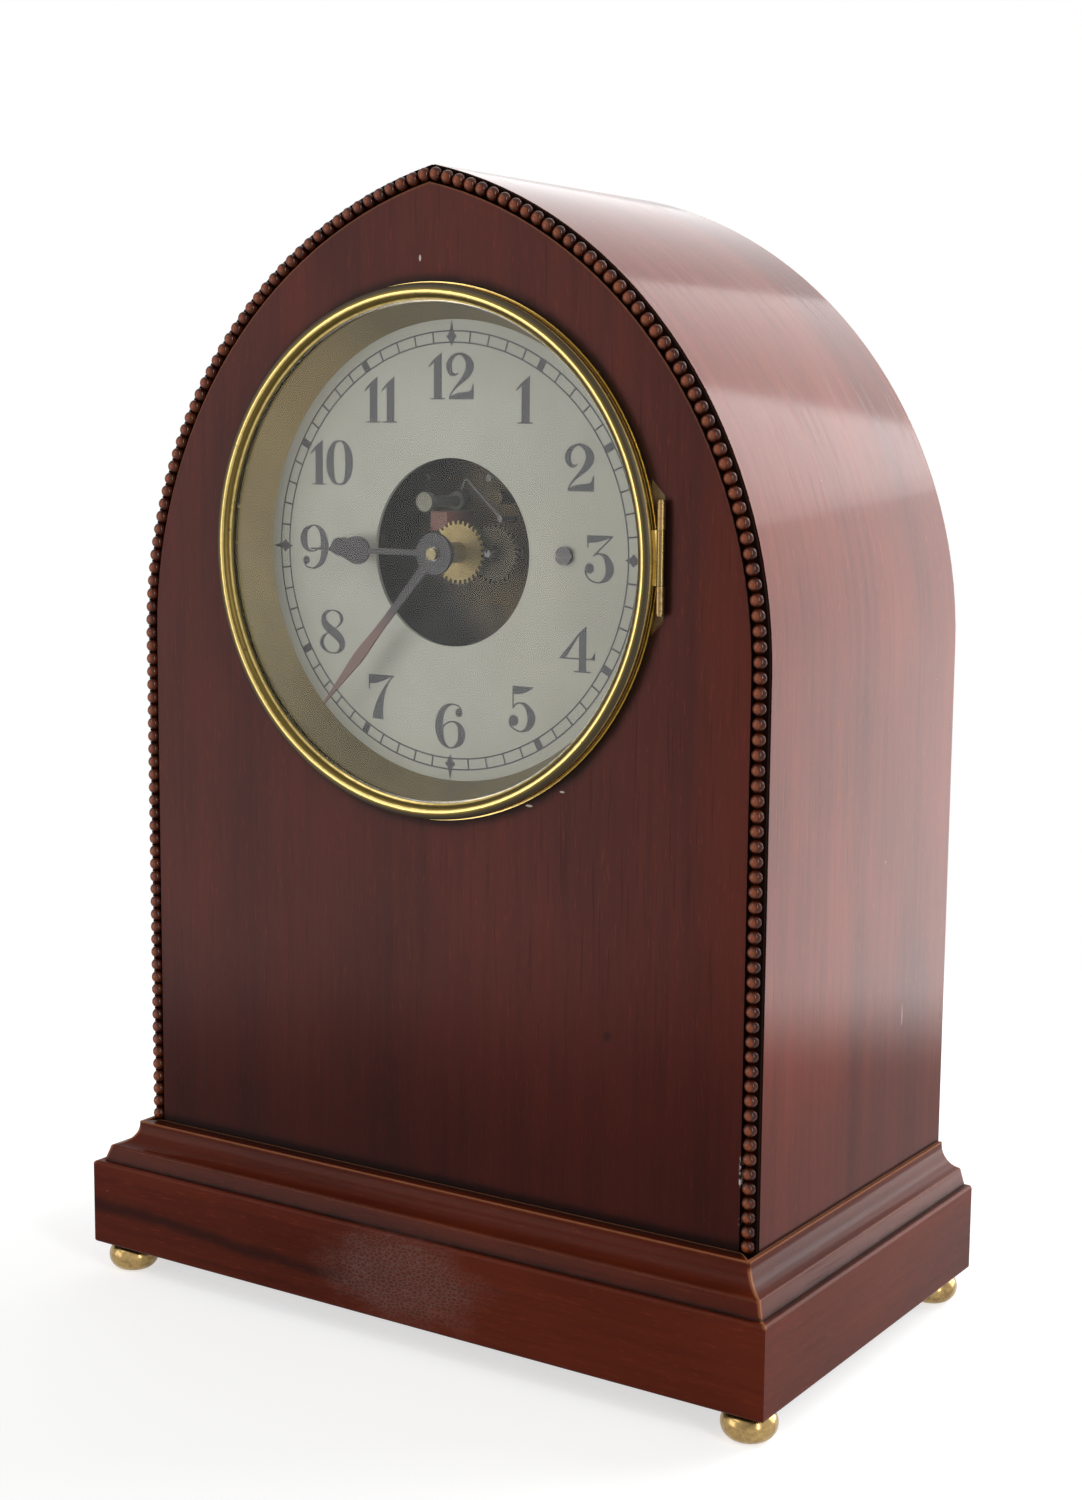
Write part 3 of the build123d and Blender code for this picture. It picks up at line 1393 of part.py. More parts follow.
with BuildPart() as door_hinge_leaves:
    for centre in door_hinge_places:
        low = centre - knuckle_half
        high = centre + knuckle_half
        hinge_leaf(leaf_clear, leaf_clear + door_leaf_width, centre, ((-knuckle_half, knuckle_half),))
        drill(-hinge_half, door_axis_y, door_pin_hole, low, high)
finish(door_hinge_leaves, "door_hinge_leaves")

# Turn latch: a turned knob and spindle through the door, with a tongue for the slot in the case side
with BuildPart() as door_latch:
    collar_start_y = plinth_back_y + latch_gap
    collar_end_y = collar_start_y + latch_collar
    knob_end_y = plinth_back_y + rear_projection
    knob_round = (knob_end_y - collar_end_y) / 4
    turned(
        (
            (0, tongue_front_y),
            (latch_spindle_radius, tongue_front_y),
            (latch_spindle_radius, collar_start_y),
            (latch_knob_neck, collar_start_y),
            (latch_knob_neck, collar_end_y),
            (latch_knob_radius, collar_end_y + knob_round),
            (latch_knob_radius, knob_end_y - knob_round),
            (latch_knob_radius - knob_round, knob_end_y),
            (0, knob_end_y),
        ),
        x=latch_x,
        z=latch_z,
    )
    block(
        (latch_x - tongue_width / 2, tongue_front_y, latch_z - tongue_width / 2),
        (latch_x + tongue_width / 2, tongue_back_y, latch_z + tongue_length),
    )
finish(door_latch, "door_latch")
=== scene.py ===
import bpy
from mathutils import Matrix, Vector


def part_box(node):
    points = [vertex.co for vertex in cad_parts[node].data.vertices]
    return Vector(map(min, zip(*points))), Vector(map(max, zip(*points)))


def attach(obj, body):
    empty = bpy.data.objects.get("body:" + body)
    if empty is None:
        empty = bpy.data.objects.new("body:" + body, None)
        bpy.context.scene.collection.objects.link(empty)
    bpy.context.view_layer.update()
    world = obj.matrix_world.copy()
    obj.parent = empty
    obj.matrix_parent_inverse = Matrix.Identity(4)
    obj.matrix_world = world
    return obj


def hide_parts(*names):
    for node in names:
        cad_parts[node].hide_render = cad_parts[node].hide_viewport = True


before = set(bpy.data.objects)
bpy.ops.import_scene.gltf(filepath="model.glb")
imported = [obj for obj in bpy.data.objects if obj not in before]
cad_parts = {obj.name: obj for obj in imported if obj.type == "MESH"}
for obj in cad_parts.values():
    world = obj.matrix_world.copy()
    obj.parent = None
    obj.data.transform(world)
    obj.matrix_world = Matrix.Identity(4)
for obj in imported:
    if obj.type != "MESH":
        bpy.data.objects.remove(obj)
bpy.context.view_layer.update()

import math

import bmesh
import bpy
from mathutils import Matrix, Vector
from mathutils.geometry import delaunay_2d_cdt

# The studio: a pale round table top that fades into white, and six soft windows. Three stand behind, for
# the sheen on the polished side and arch, a slim one stands on the right and two in front on the left.
MM = 0.001


# A Shade is one value, colour or direction on a finish; sums on it add Math nodes.
class Shade:
    def __init__(self, finish, socket):
        self.finish = finish
        self.socket = socket

    def sum(self, operation, first, second):
        return self.finish.node("ShaderNodeMath", {"operation": operation}, {0: first, 1: second})

    def __add__(self, other):
        return self.sum("ADD", self, other)

    def __sub__(self, other):
        return self.sum("SUBTRACT", self, other)

    def __mul__(self, other):
        return self.sum("MULTIPLY", self, other)

    def __truediv__(self, other):
        return self.sum("DIVIDE", self, other)

    def __radd__(self, other):
        return self.sum("ADD", other, self)

    def __rsub__(self, other):
        return self.sum("SUBTRACT", other, self)

    def __rmul__(self, other):
        return self.sum("MULTIPLY", other, self)

    def size(self):
        return self.finish.node("ShaderNodeMath", {"operation": "ABSOLUTE"}, {0: self})

    def larger(self, other):
        return self.sum("MAXIMUM", self, other)

    def between(self, low, high):
        smooth = {"interpolation_type": "SMOOTHSTEP"}
        return self.finish.node("ShaderNodeMapRange", smooth, {0: self, 1: low, 2: high})


# A Finish is the sheet of nodes of one material, or of the studio's white.
class Finish:
    def __init__(self, owner):
        owner.use_nodes = True
        self.owner = owner
        self.tree = owner.node_tree

    def node(self, kind, settings, sockets, out=0):
        made = self.tree.nodes.new(kind)
        for name, value in settings.items():
            setattr(made, name, value)
        for name, value in sockets.items():
            self.feed(made.inputs[name], value)
        return Shade(self, made.outputs[out])

    def feed(self, socket, value):
        if isinstance(value, Shade):
            self.tree.links.new(value.socket, socket)
        else:
            socket.default_value = value

    def surface(self, **sockets):
        shader = self.tree.nodes["Principled BSDF"]
        for name, value in sockets.items():
            self.feed(shader.inputs[name.replace("_", " ")], value)

    def place(self):
        return self.node("ShaderNodeTexCoord", {}, {}, "Object")

    def part(self, direction, axis):
        return self.node("ShaderNodeSeparateXYZ", {}, {0: direction}, axis)

    def vector(self, operation, first, second, out=0):
        return self.node("ShaderNodeVectorMath", {"operation": operation}, {0: first, 1: second}, out)

    def length(self, direction):
        return self.node("ShaderNodeVectorMath", {"operation": "LENGTH"}, {0: direction}, 1)

    def looked_at(self):
        rays = ("Is Camera Ray", "Is Glossy Ray", "Is Transmission Ray")
        seen, shine, through = [self.node("ShaderNodeLightPath", {}, {}, ray) for ray in rays]
        return seen.larger(shine).larger(through)

    def noise(self, where, scale, detail, rough):
        sockets = {"Vector": where, "Scale": scale, "Detail": detail, "Roughness": rough}
        return self.node("ShaderNodeTexNoise", {}, sockets)

    def blend(self, share, first, second, how="MIX"):
        settings = {"data_type": "RGBA", "blend_type": how}
        return self.node("ShaderNodeMix", settings, {0: share, 6: first, 7: second}, 2)

    def eased(self, radius):
        return self.node("ShaderNodeBevel", {"samples": 6}, {"Radius": radius})

    def arris(self, radius):
        straight = self.node("ShaderNodeNewGeometry", {}, {}, "Normal")
        return 1 - self.vector("DOT_PRODUCT", self.eased(radius), straight, 1)

    def upward(self, radius):
        return self.part(self.eased(radius), "Z")

    def hollow(self, reach, alone=True):
        settings = {"samples": 8, "only_local": alone}
        return 1 - self.node("ShaderNodeAmbientOcclusion", settings, {"Distance": reach}, "AO")

    def spot(self, where, centre, spread):
        offset = self.vector("SUBTRACT", where, centre)
        scaled = self.vector("MULTIPLY", offset, [1 / width if width else 0 for width in spread])
        return 1 - self.length(scaled)

    def bump(self, height, depth, strength):
        sockets = {"Height": height, "Distance": depth, "Strength": strength}
        return self.node("ShaderNodeBump", {}, sockets)


def finish(name):
    return Finish(bpy.data.materials.new(name))


scene = bpy.context.scene
scene.view_settings.view_transform = "Standard"
ROOM_LIGHT = 0.35
TABLE_RADIUS = 620 * MM
TABLE_FADE = (370 * MM, 540 * MM)
TABLE_COLOUR = (0.56, 0.56, 0.555, 1)
TABLE_PAPER = (0.45, 0.45, 0.445, 1)
TABLE_GLOW = 0.62

studio = Finish(bpy.data.worlds.new("studio_white"))
scene.world = studio.owner
white = studio.tree.nodes["Background"]
studio.feed(white.inputs["Color"], (1, 1, 1, 1))
studio.feed(white.inputs["Strength"], studio.looked_at().larger(ROOM_LIGHT))

table = finish("table_white")
table_place = table.place()
table_paper = table.noise(table_place, 900, 2, 0.6)
table_glow = table.looked_at() * TABLE_GLOW
table.surface(
    Base_Color=table.blend(table_paper * 0.06, TABLE_COLOUR, TABLE_PAPER),
    Roughness=0.8,
    Specular_IOR_Level=0.1,
    Emission_Color=table.node("ShaderNodeCombineXYZ", {}, {0: table_glow, 1: table_glow, 2: table_glow}),
    Emission_Strength=1.0,
    Alpha=table.length(table_place).between(TABLE_FADE[1], TABLE_FADE[0]),
)
table_top = bpy.data.objects.new("table_top", bpy.data.meshes.new("table_top"))
table_mesh = bmesh.new()
bmesh.ops.create_circle(table_mesh, cap_ends=True, radius=TABLE_RADIUS, segments=96)
table_mesh.to_mesh(table_top.data)
table_mesh.free()
table_top.data.materials.append(table.owner)
scene.collection.objects.link(table_top)


def window(name, place, aim, width, height, glow):
    lamp = bpy.data.lights.new(name, "AREA")
    lamp.shape = "RECTANGLE"
    lamp.size = width
    lamp.size_y = height
    lamp.energy = glow * math.pi * width * height
    hung = bpy.data.objects.new(name, lamp)
    hung.location = place
    hung.rotation_euler = (Vector(aim) - Vector(place)).to_track_quat("-Z", "Y").to_euler()
    hung.visible_camera = False
    scene.collection.objects.link(hung)


window("side_window", (0.82, 1.15, 0.47), (0.1, 0.0, 0.25), width=0.9, height=1.8, glow=4.8)
window("right_window", (1.15, -0.55, 0.55), (0.1, 0.0, 0.2), width=0.16, height=1.1, glow=12.0)
window("front_card", (-0.90, -1.08, 0.15), (0.0, 0.0, 0.15), width=0.8, height=1.0, glow=2.3)
window("front_window", (-0.70, -1.05, 1.35), (0.0, 0.0, 0.2), width=0.9, height=0.9, glow=1.6)
window("back_window", (-0.15, 1.5, 1.25), (0.0, 0.0, 0.3), width=2.2, height=1.1, glow=0.9)
window("arch_window", (0.40, 1.5, 1.20), (0.0, 0.0, 0.3), width=1.1, height=1.2, glow=2.1)

LENS = 54.76
SENSOR_WIDTH = 36
CAMERA_TURNS = (33.24, 8.01, 0.5)
CAMERA_PLACE = (395.51, -601.7, 276.91)
camera = bpy.data.objects.new("camera", bpy.data.cameras.new("camera"))
camera.data.lens = LENS
camera.data.sensor_width = SENSOR_WIDTH
yaw, pitch, roll = [math.radians(turn) for turn in CAMERA_TURNS]
back = Vector((math.sin(yaw) * math.cos(pitch), -math.cos(yaw) * math.cos(pitch), math.sin(pitch)))
level = Vector((0, 0, 1)).cross(back).normalized()
upright = back.cross(level)
right = level * math.cos(roll) + upright * math.sin(roll)
up = back.cross(right)
stand = Matrix((right, up, back)).transposed().to_4x4()
stand.translation = Vector(CAMERA_PLACE) * MM
camera.matrix_world = stand
scene.collection.objects.link(camera)
scene.camera = camera

# The plinth: four mahogany boards mitred round the foot of the case, french polished, with the grain
# running along each board. The polish is rubbed off the arrises, those facing up carry a painted
# highlight, and it is crazed near the middle in front.
GRAIN_DRAW = 0.035
FLECK_DRAW = 0.11
CLOUD_DRAW = 0.5
CLOUD_SCALE = 17
FIGURE_SCALE = 48
GRAIN_SCALE = 330
FLECK_SCALE = 1700
PORE_SCALE = 1050
RUBBED_AND_HIGHLIGHT = (0.36, 0.135, 0.060, 1)
GRIME_AND_SHADE = (0.011, 0.006, 0.005, 1)
PORE = (0.018, 0.004, 0.003, 1)
DUST = (0.45, 0.36, 0.32, 1)
GRIME_AND_SHADE_REACH = 5 * MM
EASED_EDGE = 1.5 * MM
PORE_DEPTH = 0.035 * MM


def dress(coat, *nodes):
    for name in nodes:
        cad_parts[name].material_slots[0].material = coat.owner


def mahogany(name, run, deep, rich, gloss=0.15, rub_and_highlight=0.9):
    wood = finish(name)
    here = wood.place()
    drawn = wood.vector("MULTIPLY", here, [GRAIN_DRAW if axis in run else 1 for axis in "XYZ"])
    dashed = wood.vector("MULTIPLY", here, [FLECK_DRAW if axis in run else 1 for axis in "XYZ"])
    broad = wood.vector("MULTIPLY", here, [CLOUD_DRAW if axis in run else 1 for axis in "XYZ"])
    cloud = wood.noise(broad, CLOUD_SCALE, 3, 0.55)
    figure = wood.noise(drawn, FIGURE_SCALE, 4, 0.55)
    grain = wood.noise(drawn, GRAIN_SCALE, 3, 0.6)
    pore = wood.noise(drawn, PORE_SCALE, 1, 0.5).between(0.58, 0.74)
    fleck = wood.noise(dashed, FLECK_SCALE, 2, 0.6).between(0.57, 0.76)
    tone = (0.33 * figure + 0.27 * grain + 0.55 * cloud).between(0.36, 0.80)
    colour = wood.blend(tone, deep, rich)
    colour = wood.blend(fleck * 0.24, colour, [2.3 * shade for shade in rich[:3]] + [1])
    colour = wood.blend(pore * 0.22, colour, PORE)
    wear = 0.35 + wood.noise(here, 120, 4, 0.65)
    # Darker in the corners and beside other parts: old polish lies there in part, and in part it is painted
    # shade.
    grime_and_shade = (wood.hollow(GRIME_AND_SHADE_REACH, False) * wear).between(0.06, 0.27)
    colour = wood.blend(grime_and_shade * 0.92, colour, GRIME_AND_SHADE)
    # The arrises that face up are lighter: polish rubbed off, and in part a painted highlight.
    edge = (wood.arris(EASED_EDGE) * wear).between(0.03, 0.13)
    edge = edge * wood.upward(EASED_EDGE).between(0.1, 0.5)
    colour = wood.blend(edge * rub_and_highlight, colour, RUBBED_AND_HIGHLIGHT)
    dust = wood.noise(here, 420, 2, 0.5).between(0.80, 0.84)
    colour = wood.blend(dust * 0.35, colour, DUST)
    smear = wood.noise(here, 26, 3, 0.6)
    rough = gloss + 0.08 * smear + 0.06 * pore + 0.05 * figure + 0.25 * edge + 0.3 * dust + 0.25 * grime_and_shade
    height = 0.6 * pore + 0.25 * grain
    return wood, here, colour, rough, height


def polish(made, ior=1.18):
    wood, here, colour, rough, height = made
    flat = wood.bump(1 - height, PORE_DEPTH, 0.5)
    wood.surface(Base_Color=colour, Roughness=rough, Normal=flat, IOR=ior)
    return wood


PLINTH_DEEP = (0.050, 0.0058, 0.0025, 1)
PLINTH_RICH = (0.122, 0.0190, 0.0066, 1)
PLINTH_GLOSS = 0.17
PLINTH_IOR = 1.14
STREAK_RISE = 21.6 * MM
STREAK_SLOPE = 0.035
STREAK_DRIFT = 7.5 * MM
STREAK_HALF = 3.4 * MM
STREAK_END = (-4 * MM, -34 * MM)
STREAK_COLOUR = (0.016, 0.0032, 0.0022, 1)
CRAZE_PLACE = (2.0 * MM, -75.0 * MM, 24.0 * MM)
CRAZE_SPREAD = (36 * MM, 0, 17 * MM)
CRAZE_SCALE = 980
CRAZE_COLOUR = (0.19, 0.115, 0.10, 1)

plinth_polish = (PLINTH_DEEP, PLINTH_RICH, PLINTH_GLOSS)
wood, here, colour, rough, height = mahogany("mahogany_along_front", "X", *plinth_polish)
across = wood.part(here, "X")
drift = STREAK_DRIFT * wood.noise(here, 30, 3, 0.6)
lift = wood.part(here, "Z") + STREAK_SLOPE * across + drift - STREAK_RISE
streak = (1 - lift.size() / STREAK_HALF).between(0.0, 0.9) * across.between(*STREAK_END)
colour = wood.blend(streak * 0.72, colour, STREAK_COLOUR)
ragged = wood.noise(wood.vector("MULTIPLY", here, (0.4, 1, 1)), 150, 5, 0.75)
patch = (wood.spot(here, CRAZE_PLACE, CRAZE_SPREAD) + 1.1 * ragged).between(0.5, 1.15)
crack = wood.node(
    "ShaderNodeTexVoronoi",
    {"feature": "DISTANCE_TO_EDGE"},
    {"Vector": wood.vector("MULTIPLY", here, (0.55, 1, 1)), "Scale": CRAZE_SCALE},
    "Distance",
).between(0.16, 0.02)
craze = patch * crack
colour = wood.blend(patch * 0.16 + craze * 0.34, colour, CRAZE_COLOUR)
polish((wood, here, colour, rough + 0.2 * patch, height + 0.8 * craze), PLINTH_IOR)
dress(wood, "plinth_front")
along_back = mahogany("mahogany_along_back", "X", *plinth_polish)
dress(polish(along_back, PLINTH_IOR), "plinth_back")
along_side = mahogany("mahogany_along_side", "Y", *plinth_polish)
dress(polish(along_side, PLINTH_IOR), "plinth_left", "plinth_right")

# The base board and the stop rail: plain deal, inside the plinth and across the foot of the back
# opening, screwed and glued, sawn and planed but never polished.
DEAL_SOFT = (0.22, 0.125, 0.06, 1)
DEAL_HARD = (0.40, 0.26, 0.14, 1)
DEAL_DIRT = (0.10, 0.06, 0.035, 1)
deal = finish("plain_deal")
deal_place = deal.place()
deal_drawn = deal.vector("MULTIPLY", deal_place, (0.05, 1, 1))
deal_ring = deal.noise(deal_drawn, 160, 4, 0.6)
deal_dirt = deal.noise(deal_place, 30, 4, 0.6)
deal_colour = deal.blend(deal_ring.between(0.35, 0.7), DEAL_SOFT, DEAL_HARD)
deal.surface(
    Base_Color=deal.blend(deal_dirt.between(0.45, 0.8) * 0.6, deal_colour, DEAL_DIRT),
    Roughness=0.62 + 0.2 * deal_dirt,
    Normal=deal.bump(deal_ring, 0.15 * MM, 0.5),
    IOR=1.4,
)
dress(deal, "base_board", "stop_rail")

# The feet: four turned brass buns screwed up into the plinth, lacquered once, now dark in the neck
# and bright where they have been handled.
DIRT = (0.045, 0.026, 0.012, 1)


def brass(name, clean, aged, smooth, dull, tarnish, reach):
    metal = finish(name)
    here = metal.place()
    cloud = metal.noise(here, 95, 5, 0.65)
    fleck = metal.noise(here, 780, 3, 0.6)
    age = (0.75 * cloud + 0.35 * fleck).between(0.42, 0.72)
    dirt = (metal.hollow(reach) + 0.45 * cloud + 0.25 * fleck).between(0.55, 1.15) * tarnish
    bright = (metal.arris(0.7 * MM) * (0.4 + cloud)).between(0.04, 0.25)
    colour = metal.blend(age * 0.75, clean, aged)
    colour = metal.blend(dirt, colour, DIRT)
    colour = metal.blend(bright * 0.5, colour, clean)
    metal.surface(
        Base_Color=colour,
        Metallic=1 - 0.55 * dirt,
        Roughness=smooth + (dull - smooth) * (0.6 * age + 0.4 * fleck) + 0.3 * dirt,
        Normal=metal.bump(fleck, 0.02 * MM, 0.4),
    )
    return metal


FOOT_BRIGHT = (0.44, 0.30, 0.12, 1)
FOOT_AGED = (0.13, 0.083, 0.038, 1)
foot_brass = brass("foot_brass", FOOT_BRIGHT, FOOT_AGED, smooth=0.12, dull=0.34, tarnish=0.95, reach=3 * MM)
dress(foot_brass, "bun_feet")

# The moulding: a cove with a sloping nose, run in lengths, mitred on top of the plinth and glued round
# the foot of the case. Its corners are black with old polish and painted shade, and the arrises that
# face up are rubbed pale and carry a painted highlight.
MOULDING_DEEP = (0.040, 0.0048, 0.0021, 1)
MOULDING_RICH = (0.102, 0.0160, 0.0056, 1)
MOULDING_GLOSS = 0.14
MOULDING_RUB_AND_HIGHLIGHT = 0.95
moulding_polish = (MOULDING_DEEP, MOULDING_RICH, MOULDING_GLOSS, MOULDING_RUB_AND_HIGHLIGHT)
along_front = mahogany("mahogany_moulding_front", "X", *moulding_polish)
dress(polish(along_front, PLINTH_IOR), "moulding_front")
along_side = mahogany("mahogany_moulding_side", "Y", *moulding_polish)
dress(polish(along_side, PLINTH_IOR), "moulding_left", "moulding_right")

# The case sides: two mahogany shells, bent to the arch, that rise from the plinth and meet at the apex,
# with the grain running up and over the bend, polished to a deep gloss.
SIDE_DEEP = (0.092, 0.0132, 0.0066, 1)
SIDE_RICH = (0.210, 0.0375, 0.0190, 1)
SIDE_GLOSS = 0.03
SIDE_RUB_AND_HIGHLIGHT = 0.35
SIDE_IOR = 1.152
PAINTED_FOOT_SHADE_SPAN = (142 * MM, 58 * MM)
PAINTED_FOOT_SHADE = (0.50, 0.40, 0.38, 1)
SCRATCH_PLACE = (112.5 * MM, 35.2 * MM, 98.5 * MM)
SCRATCH_SPREAD = (0, 0.5 * MM, 4.4 * MM)
MARK_PLACE = (112.5 * MM, 20.0 * MM, 148.8 * MM)
MARK_SPREAD = (0, 1.1 * MM, 0.5 * MM)
BRUISED_SIDE = (111 * MM, 112 * MM)
BRUISED = (0.40, 0.27, 0.22, 1)


# Painted shade: the wood is made darker towards the foot, where less light falls on it.
def painted_foot_shade(wood, here, colour):
    foot = wood.part(here, "Z").between(*PAINTED_FOOT_SHADE_SPAN)
    return wood.blend(foot, colour, PAINTED_FOOT_SHADE, "MULTIPLY")


bent = mahogany("mahogany_sides", "XZ", SIDE_DEEP, SIDE_RICH, SIDE_GLOSS, SIDE_RUB_AND_HIGHLIGHT)
wood, here, colour, rough, height = bent
# Painted shade towards the foot of the sides.
colour = painted_foot_shade(wood, here, colour)
scratch = wood.spot(here, SCRATCH_PLACE, SCRATCH_SPREAD).between(0.05, 0.4)
mark = wood.spot(here, MARK_PLACE, MARK_SPREAD).between(0.05, 0.5)
bruise = scratch.larger(mark) * wood.part(here, "X").between(*BRUISED_SIDE)
colour = wood.blend(bruise * 0.7, colour, BRUISED)
polish((wood, here, colour, rough + 0.25 * bruise, height + bruise), SIDE_IOR)
dress(wood, "case_side_left", "case_side_right")

# The front panel: one lancet board of mahogany with the grain upright, bored for the dial and glued in
# between the sides, with a dark knot low on the right, pale nicks and a chip in its right edge.
FRONT_DEEP = (0.049, 0.0056, 0.0024, 1)
FRONT_RICH = (0.102, 0.0138, 0.0057, 1)
FRONT_RUB_AND_HIGHLIGHT = 0.5
KNOT_PLACE = (63.4 * MM, -59.2 * MM, 104.6 * MM)
KNOT_SPREAD = (2.2 * MM, 0, 2.6 * MM)
KNOT_COLOUR = (0.02, 0.005, 0.004, 1)
NICKS = (
    ((-3.3 * MM, -59.2 * MM, 325.5 * MM), (0.5 * MM, 0, 1.2 * MM), 0.4),
    ((36.0 * MM, -59.2 * MM, 169.0 * MM), (1.6 * MM, 0, 0.5 * MM), 0.5),
    ((47.3 * MM, -59.2 * MM, 174.1 * MM), (1.1 * MM, 0, 0.4 * MM), 0.5),
)
CHIP_EDGE = (106.9 * MM, 107.2 * MM)
CHIP_LOW = (57 * MM, 60 * MM)
CHIP_HIGH = (78 * MM, 75 * MM)
BARE_WOOD = (0.55, 0.48, 0.42, 1)
wood, here, colour, rough, height = mahogany("mahogany_front", "Z", FRONT_DEEP, FRONT_RICH, rub_and_highlight=FRONT_RUB_AND_HIGHLIGHT)
knot = wood.spot(here, KNOT_PLACE, KNOT_SPREAD).between(0.05, 0.75)
colour = wood.blend(knot * 0.7, colour, KNOT_COLOUR)
# Painted shade towards the foot of the panel.
colour = painted_foot_shade(wood, here, colour)
nick = wood.part(here, "X").between(*CHIP_EDGE) * wood.noise(here, 160, 3, 0.6).between(0.40, 0.46)
nick = nick * wood.part(here, "Z").between(*CHIP_LOW) * wood.part(here, "Z").between(*CHIP_HIGH)
for place, spread, full in NICKS:
    nick = nick.larger(wood.spot(here, place, spread).between(0.1, full))
colour = wood.blend(nick, colour, BARE_WOOD)
polish((wood, here, colour, rough + 0.3 * nick, height + 0.5 * knot))
dress(wood, "front_panel")

# The bead strings: turned mahogany half beads on a flat string, let into the rebate between the panel
# and the sides, nearly black between the beads with old polish and painted shade, and lighter on their
# crowns with a painted highlight.
BEAD_DIRT_AND_SHADE = (-59.0 * MM, -58.2 * MM)
BEAD_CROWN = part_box("bead_string_left")[0].y
CROWN_HIGHLIGHT_SPAN = (BEAD_CROWN + 0.75 * MM, BEAD_CROWN + 0.2 * MM)
BEAD_DEEP = (0.036, 0.0048, 0.0016, 1)
BEAD_RICH = (0.088, 0.0170, 0.0038, 1)
BEAD_CROWN_HIGHLIGHT = (0.34, 0.078, 0.022, 1)
BEAD_BLACK_AND_SHADE = (0.008, 0.0045, 0.0035, 1)
wood = finish("mahogany_beads")
here = wood.place()
cloud = wood.noise(here, 75, 4, 0.65)
scuff = wood.noise(here, 900, 3, 0.6)
# Nearly black between the beads and on their sunk sides: old polish in part, painted shade in part.
sunk = (wood.part(here, "Y") + 0.7 * MM * scuff - 0.35 * MM).between(*BEAD_DIRT_AND_SHADE)
dark_and_shade = sunk.larger((wood.hollow(1.2 * MM) + 0.3 * scuff).between(0.45, 0.8))
# A painted highlight: the crown of each bead is made lighter.
crown_highlight = (wood.part(here, "Y") + 0.3 * MM * scuff).between(*CROWN_HIGHLIGHT_SPAN)
colour = wood.blend(cloud.between(0.35, 0.68), BEAD_DEEP, BEAD_RICH)
colour = wood.blend(crown_highlight * 0.6, colour, BEAD_CROWN_HIGHLIGHT)
colour = wood.blend(dark_and_shade * 0.95, colour, BEAD_BLACK_AND_SHADE)
wood.surface(
    Base_Color=colour,
    Roughness=0.6 + 0.2 * dark_and_shade,
    IOR=1.03,
    Coat_Weight=0.8 - 0.8 * dark_and_shade,
    Coat_Roughness=0.035,
    Coat_IOR=1.34,
    Normal=wood.bump(scuff, 0.02 * MM, 0.3),
)
dress(wood, "bead_string_left", "bead_string_right")

# The sight ring: a spun brass funnel that lines the hole in the panel from the bezel down to the dial,
# brushed round by hand, gone dull and greyish, and still warm in colour at the upper left.
DIAL_Z = 240.2 * MM
RING_PALE = (0.192, 0.150, 0.067, 1)
RING_DULL = (0.150, 0.121, 0.060, 1)
RING_WARM = (0.34, 0.245, 0.095, 1)
RING_STAIN = (0.11, 0.07, 0.035, 1)
WARM_PLACE = (-52 * MM, -55 * MM, 285 * MM)
WARM_SPREAD = (52 * MM, 0, 52 * MM)
SPUN_SCALE = 2600


def turned_place(metal, here):
    across = metal.part(here, "X")
    rise = metal.part(here, "Z") - DIAL_Z
    radius = metal.node("ShaderNodeMath", {"operation": "SQRT"}, {0: across * across + rise * rise})
    angle = metal.node("ShaderNodeMath", {"operation": "ARCTAN2"}, {0: rise, 1: across})
    return radius, angle


ring = finish("sight_brass")
ring_place = ring.place()
ring_radius, ring_angle = turned_place(ring, ring_place)
ring_depth = ring.part(ring_place, "Y") * SPUN_SCALE
ring_spun = ring.node(
    "ShaderNodeCombineXYZ",
    {},
    {"X": ring_radius * SPUN_SCALE, "Y": ring_angle * 0.9, "Z": ring_depth},
)
ring_line = ring.noise(ring_spun, 1.0, 3, 0.6)
ring_cloud = ring.noise(ring_place, 55, 4, 0.6)
ring_stain = ring.noise(ring_place, 240, 3, 0.6).between(0.66, 0.76)
ring_colour = ring.blend(ring_cloud.between(0.35, 0.7), RING_PALE, RING_DULL)
ring_warm = ring.spot(ring_place, WARM_PLACE, WARM_SPREAD).between(0.0, 0.8)
ring_colour = ring.blend(ring_warm * 0.7, ring_colour, RING_WARM)
ring_colour = ring.blend(ring_stain * 0.6, ring_colour, RING_STAIN)
ring.surface(
    Base_Color=ring_colour,
    Metallic=0.85 - 0.5 * ring_stain,
    Roughness=0.40 + 0.16 * ring_line + 0.12 * ring_cloud,
    Normal=ring.bump(ring_line, 0.02 * MM, 0.5),
)
dress(ring, "sight_ring")

# The dial: a brass disc with an open middle, silvered and lacquered to a pale matt grey, with a few
# brown specks where the silver has failed on the right.
DIAL_PALE = (0.332, 0.331, 0.278, 1)
DIAL_GREY = (0.294, 0.294, 0.246, 1)
DIAL_YELLOWED = (0.30, 0.278, 0.203, 1)
DIAL_SPECK = (0.22, 0.15, 0.08, 1)
YELLOWED_PLACE = (44 * MM, -48 * MM, 222 * MM)
YELLOWED_SPREAD = (42 * MM, 0, 55 * MM)
dial = finish("silvered_dial")
dial_place = dial.place()
dial_grain = dial.noise(dial_place, 1500, 2, 0.5)
dial_cloud = dial.noise(dial_place, 38, 4, 0.6)
right_side = dial.spot(dial_place, YELLOWED_PLACE, YELLOWED_SPREAD).between(0.0, 0.5)
dial_fleck = dial.noise(dial_place, 330, 3, 0.65).between(0.70, 0.80) * (0.25 + right_side)
dial_colour = dial.blend(dial_cloud.between(0.3, 0.75), DIAL_PALE, DIAL_GREY)
dial_colour = dial.blend(right_side * 0.2, dial_colour, DIAL_YELLOWED)
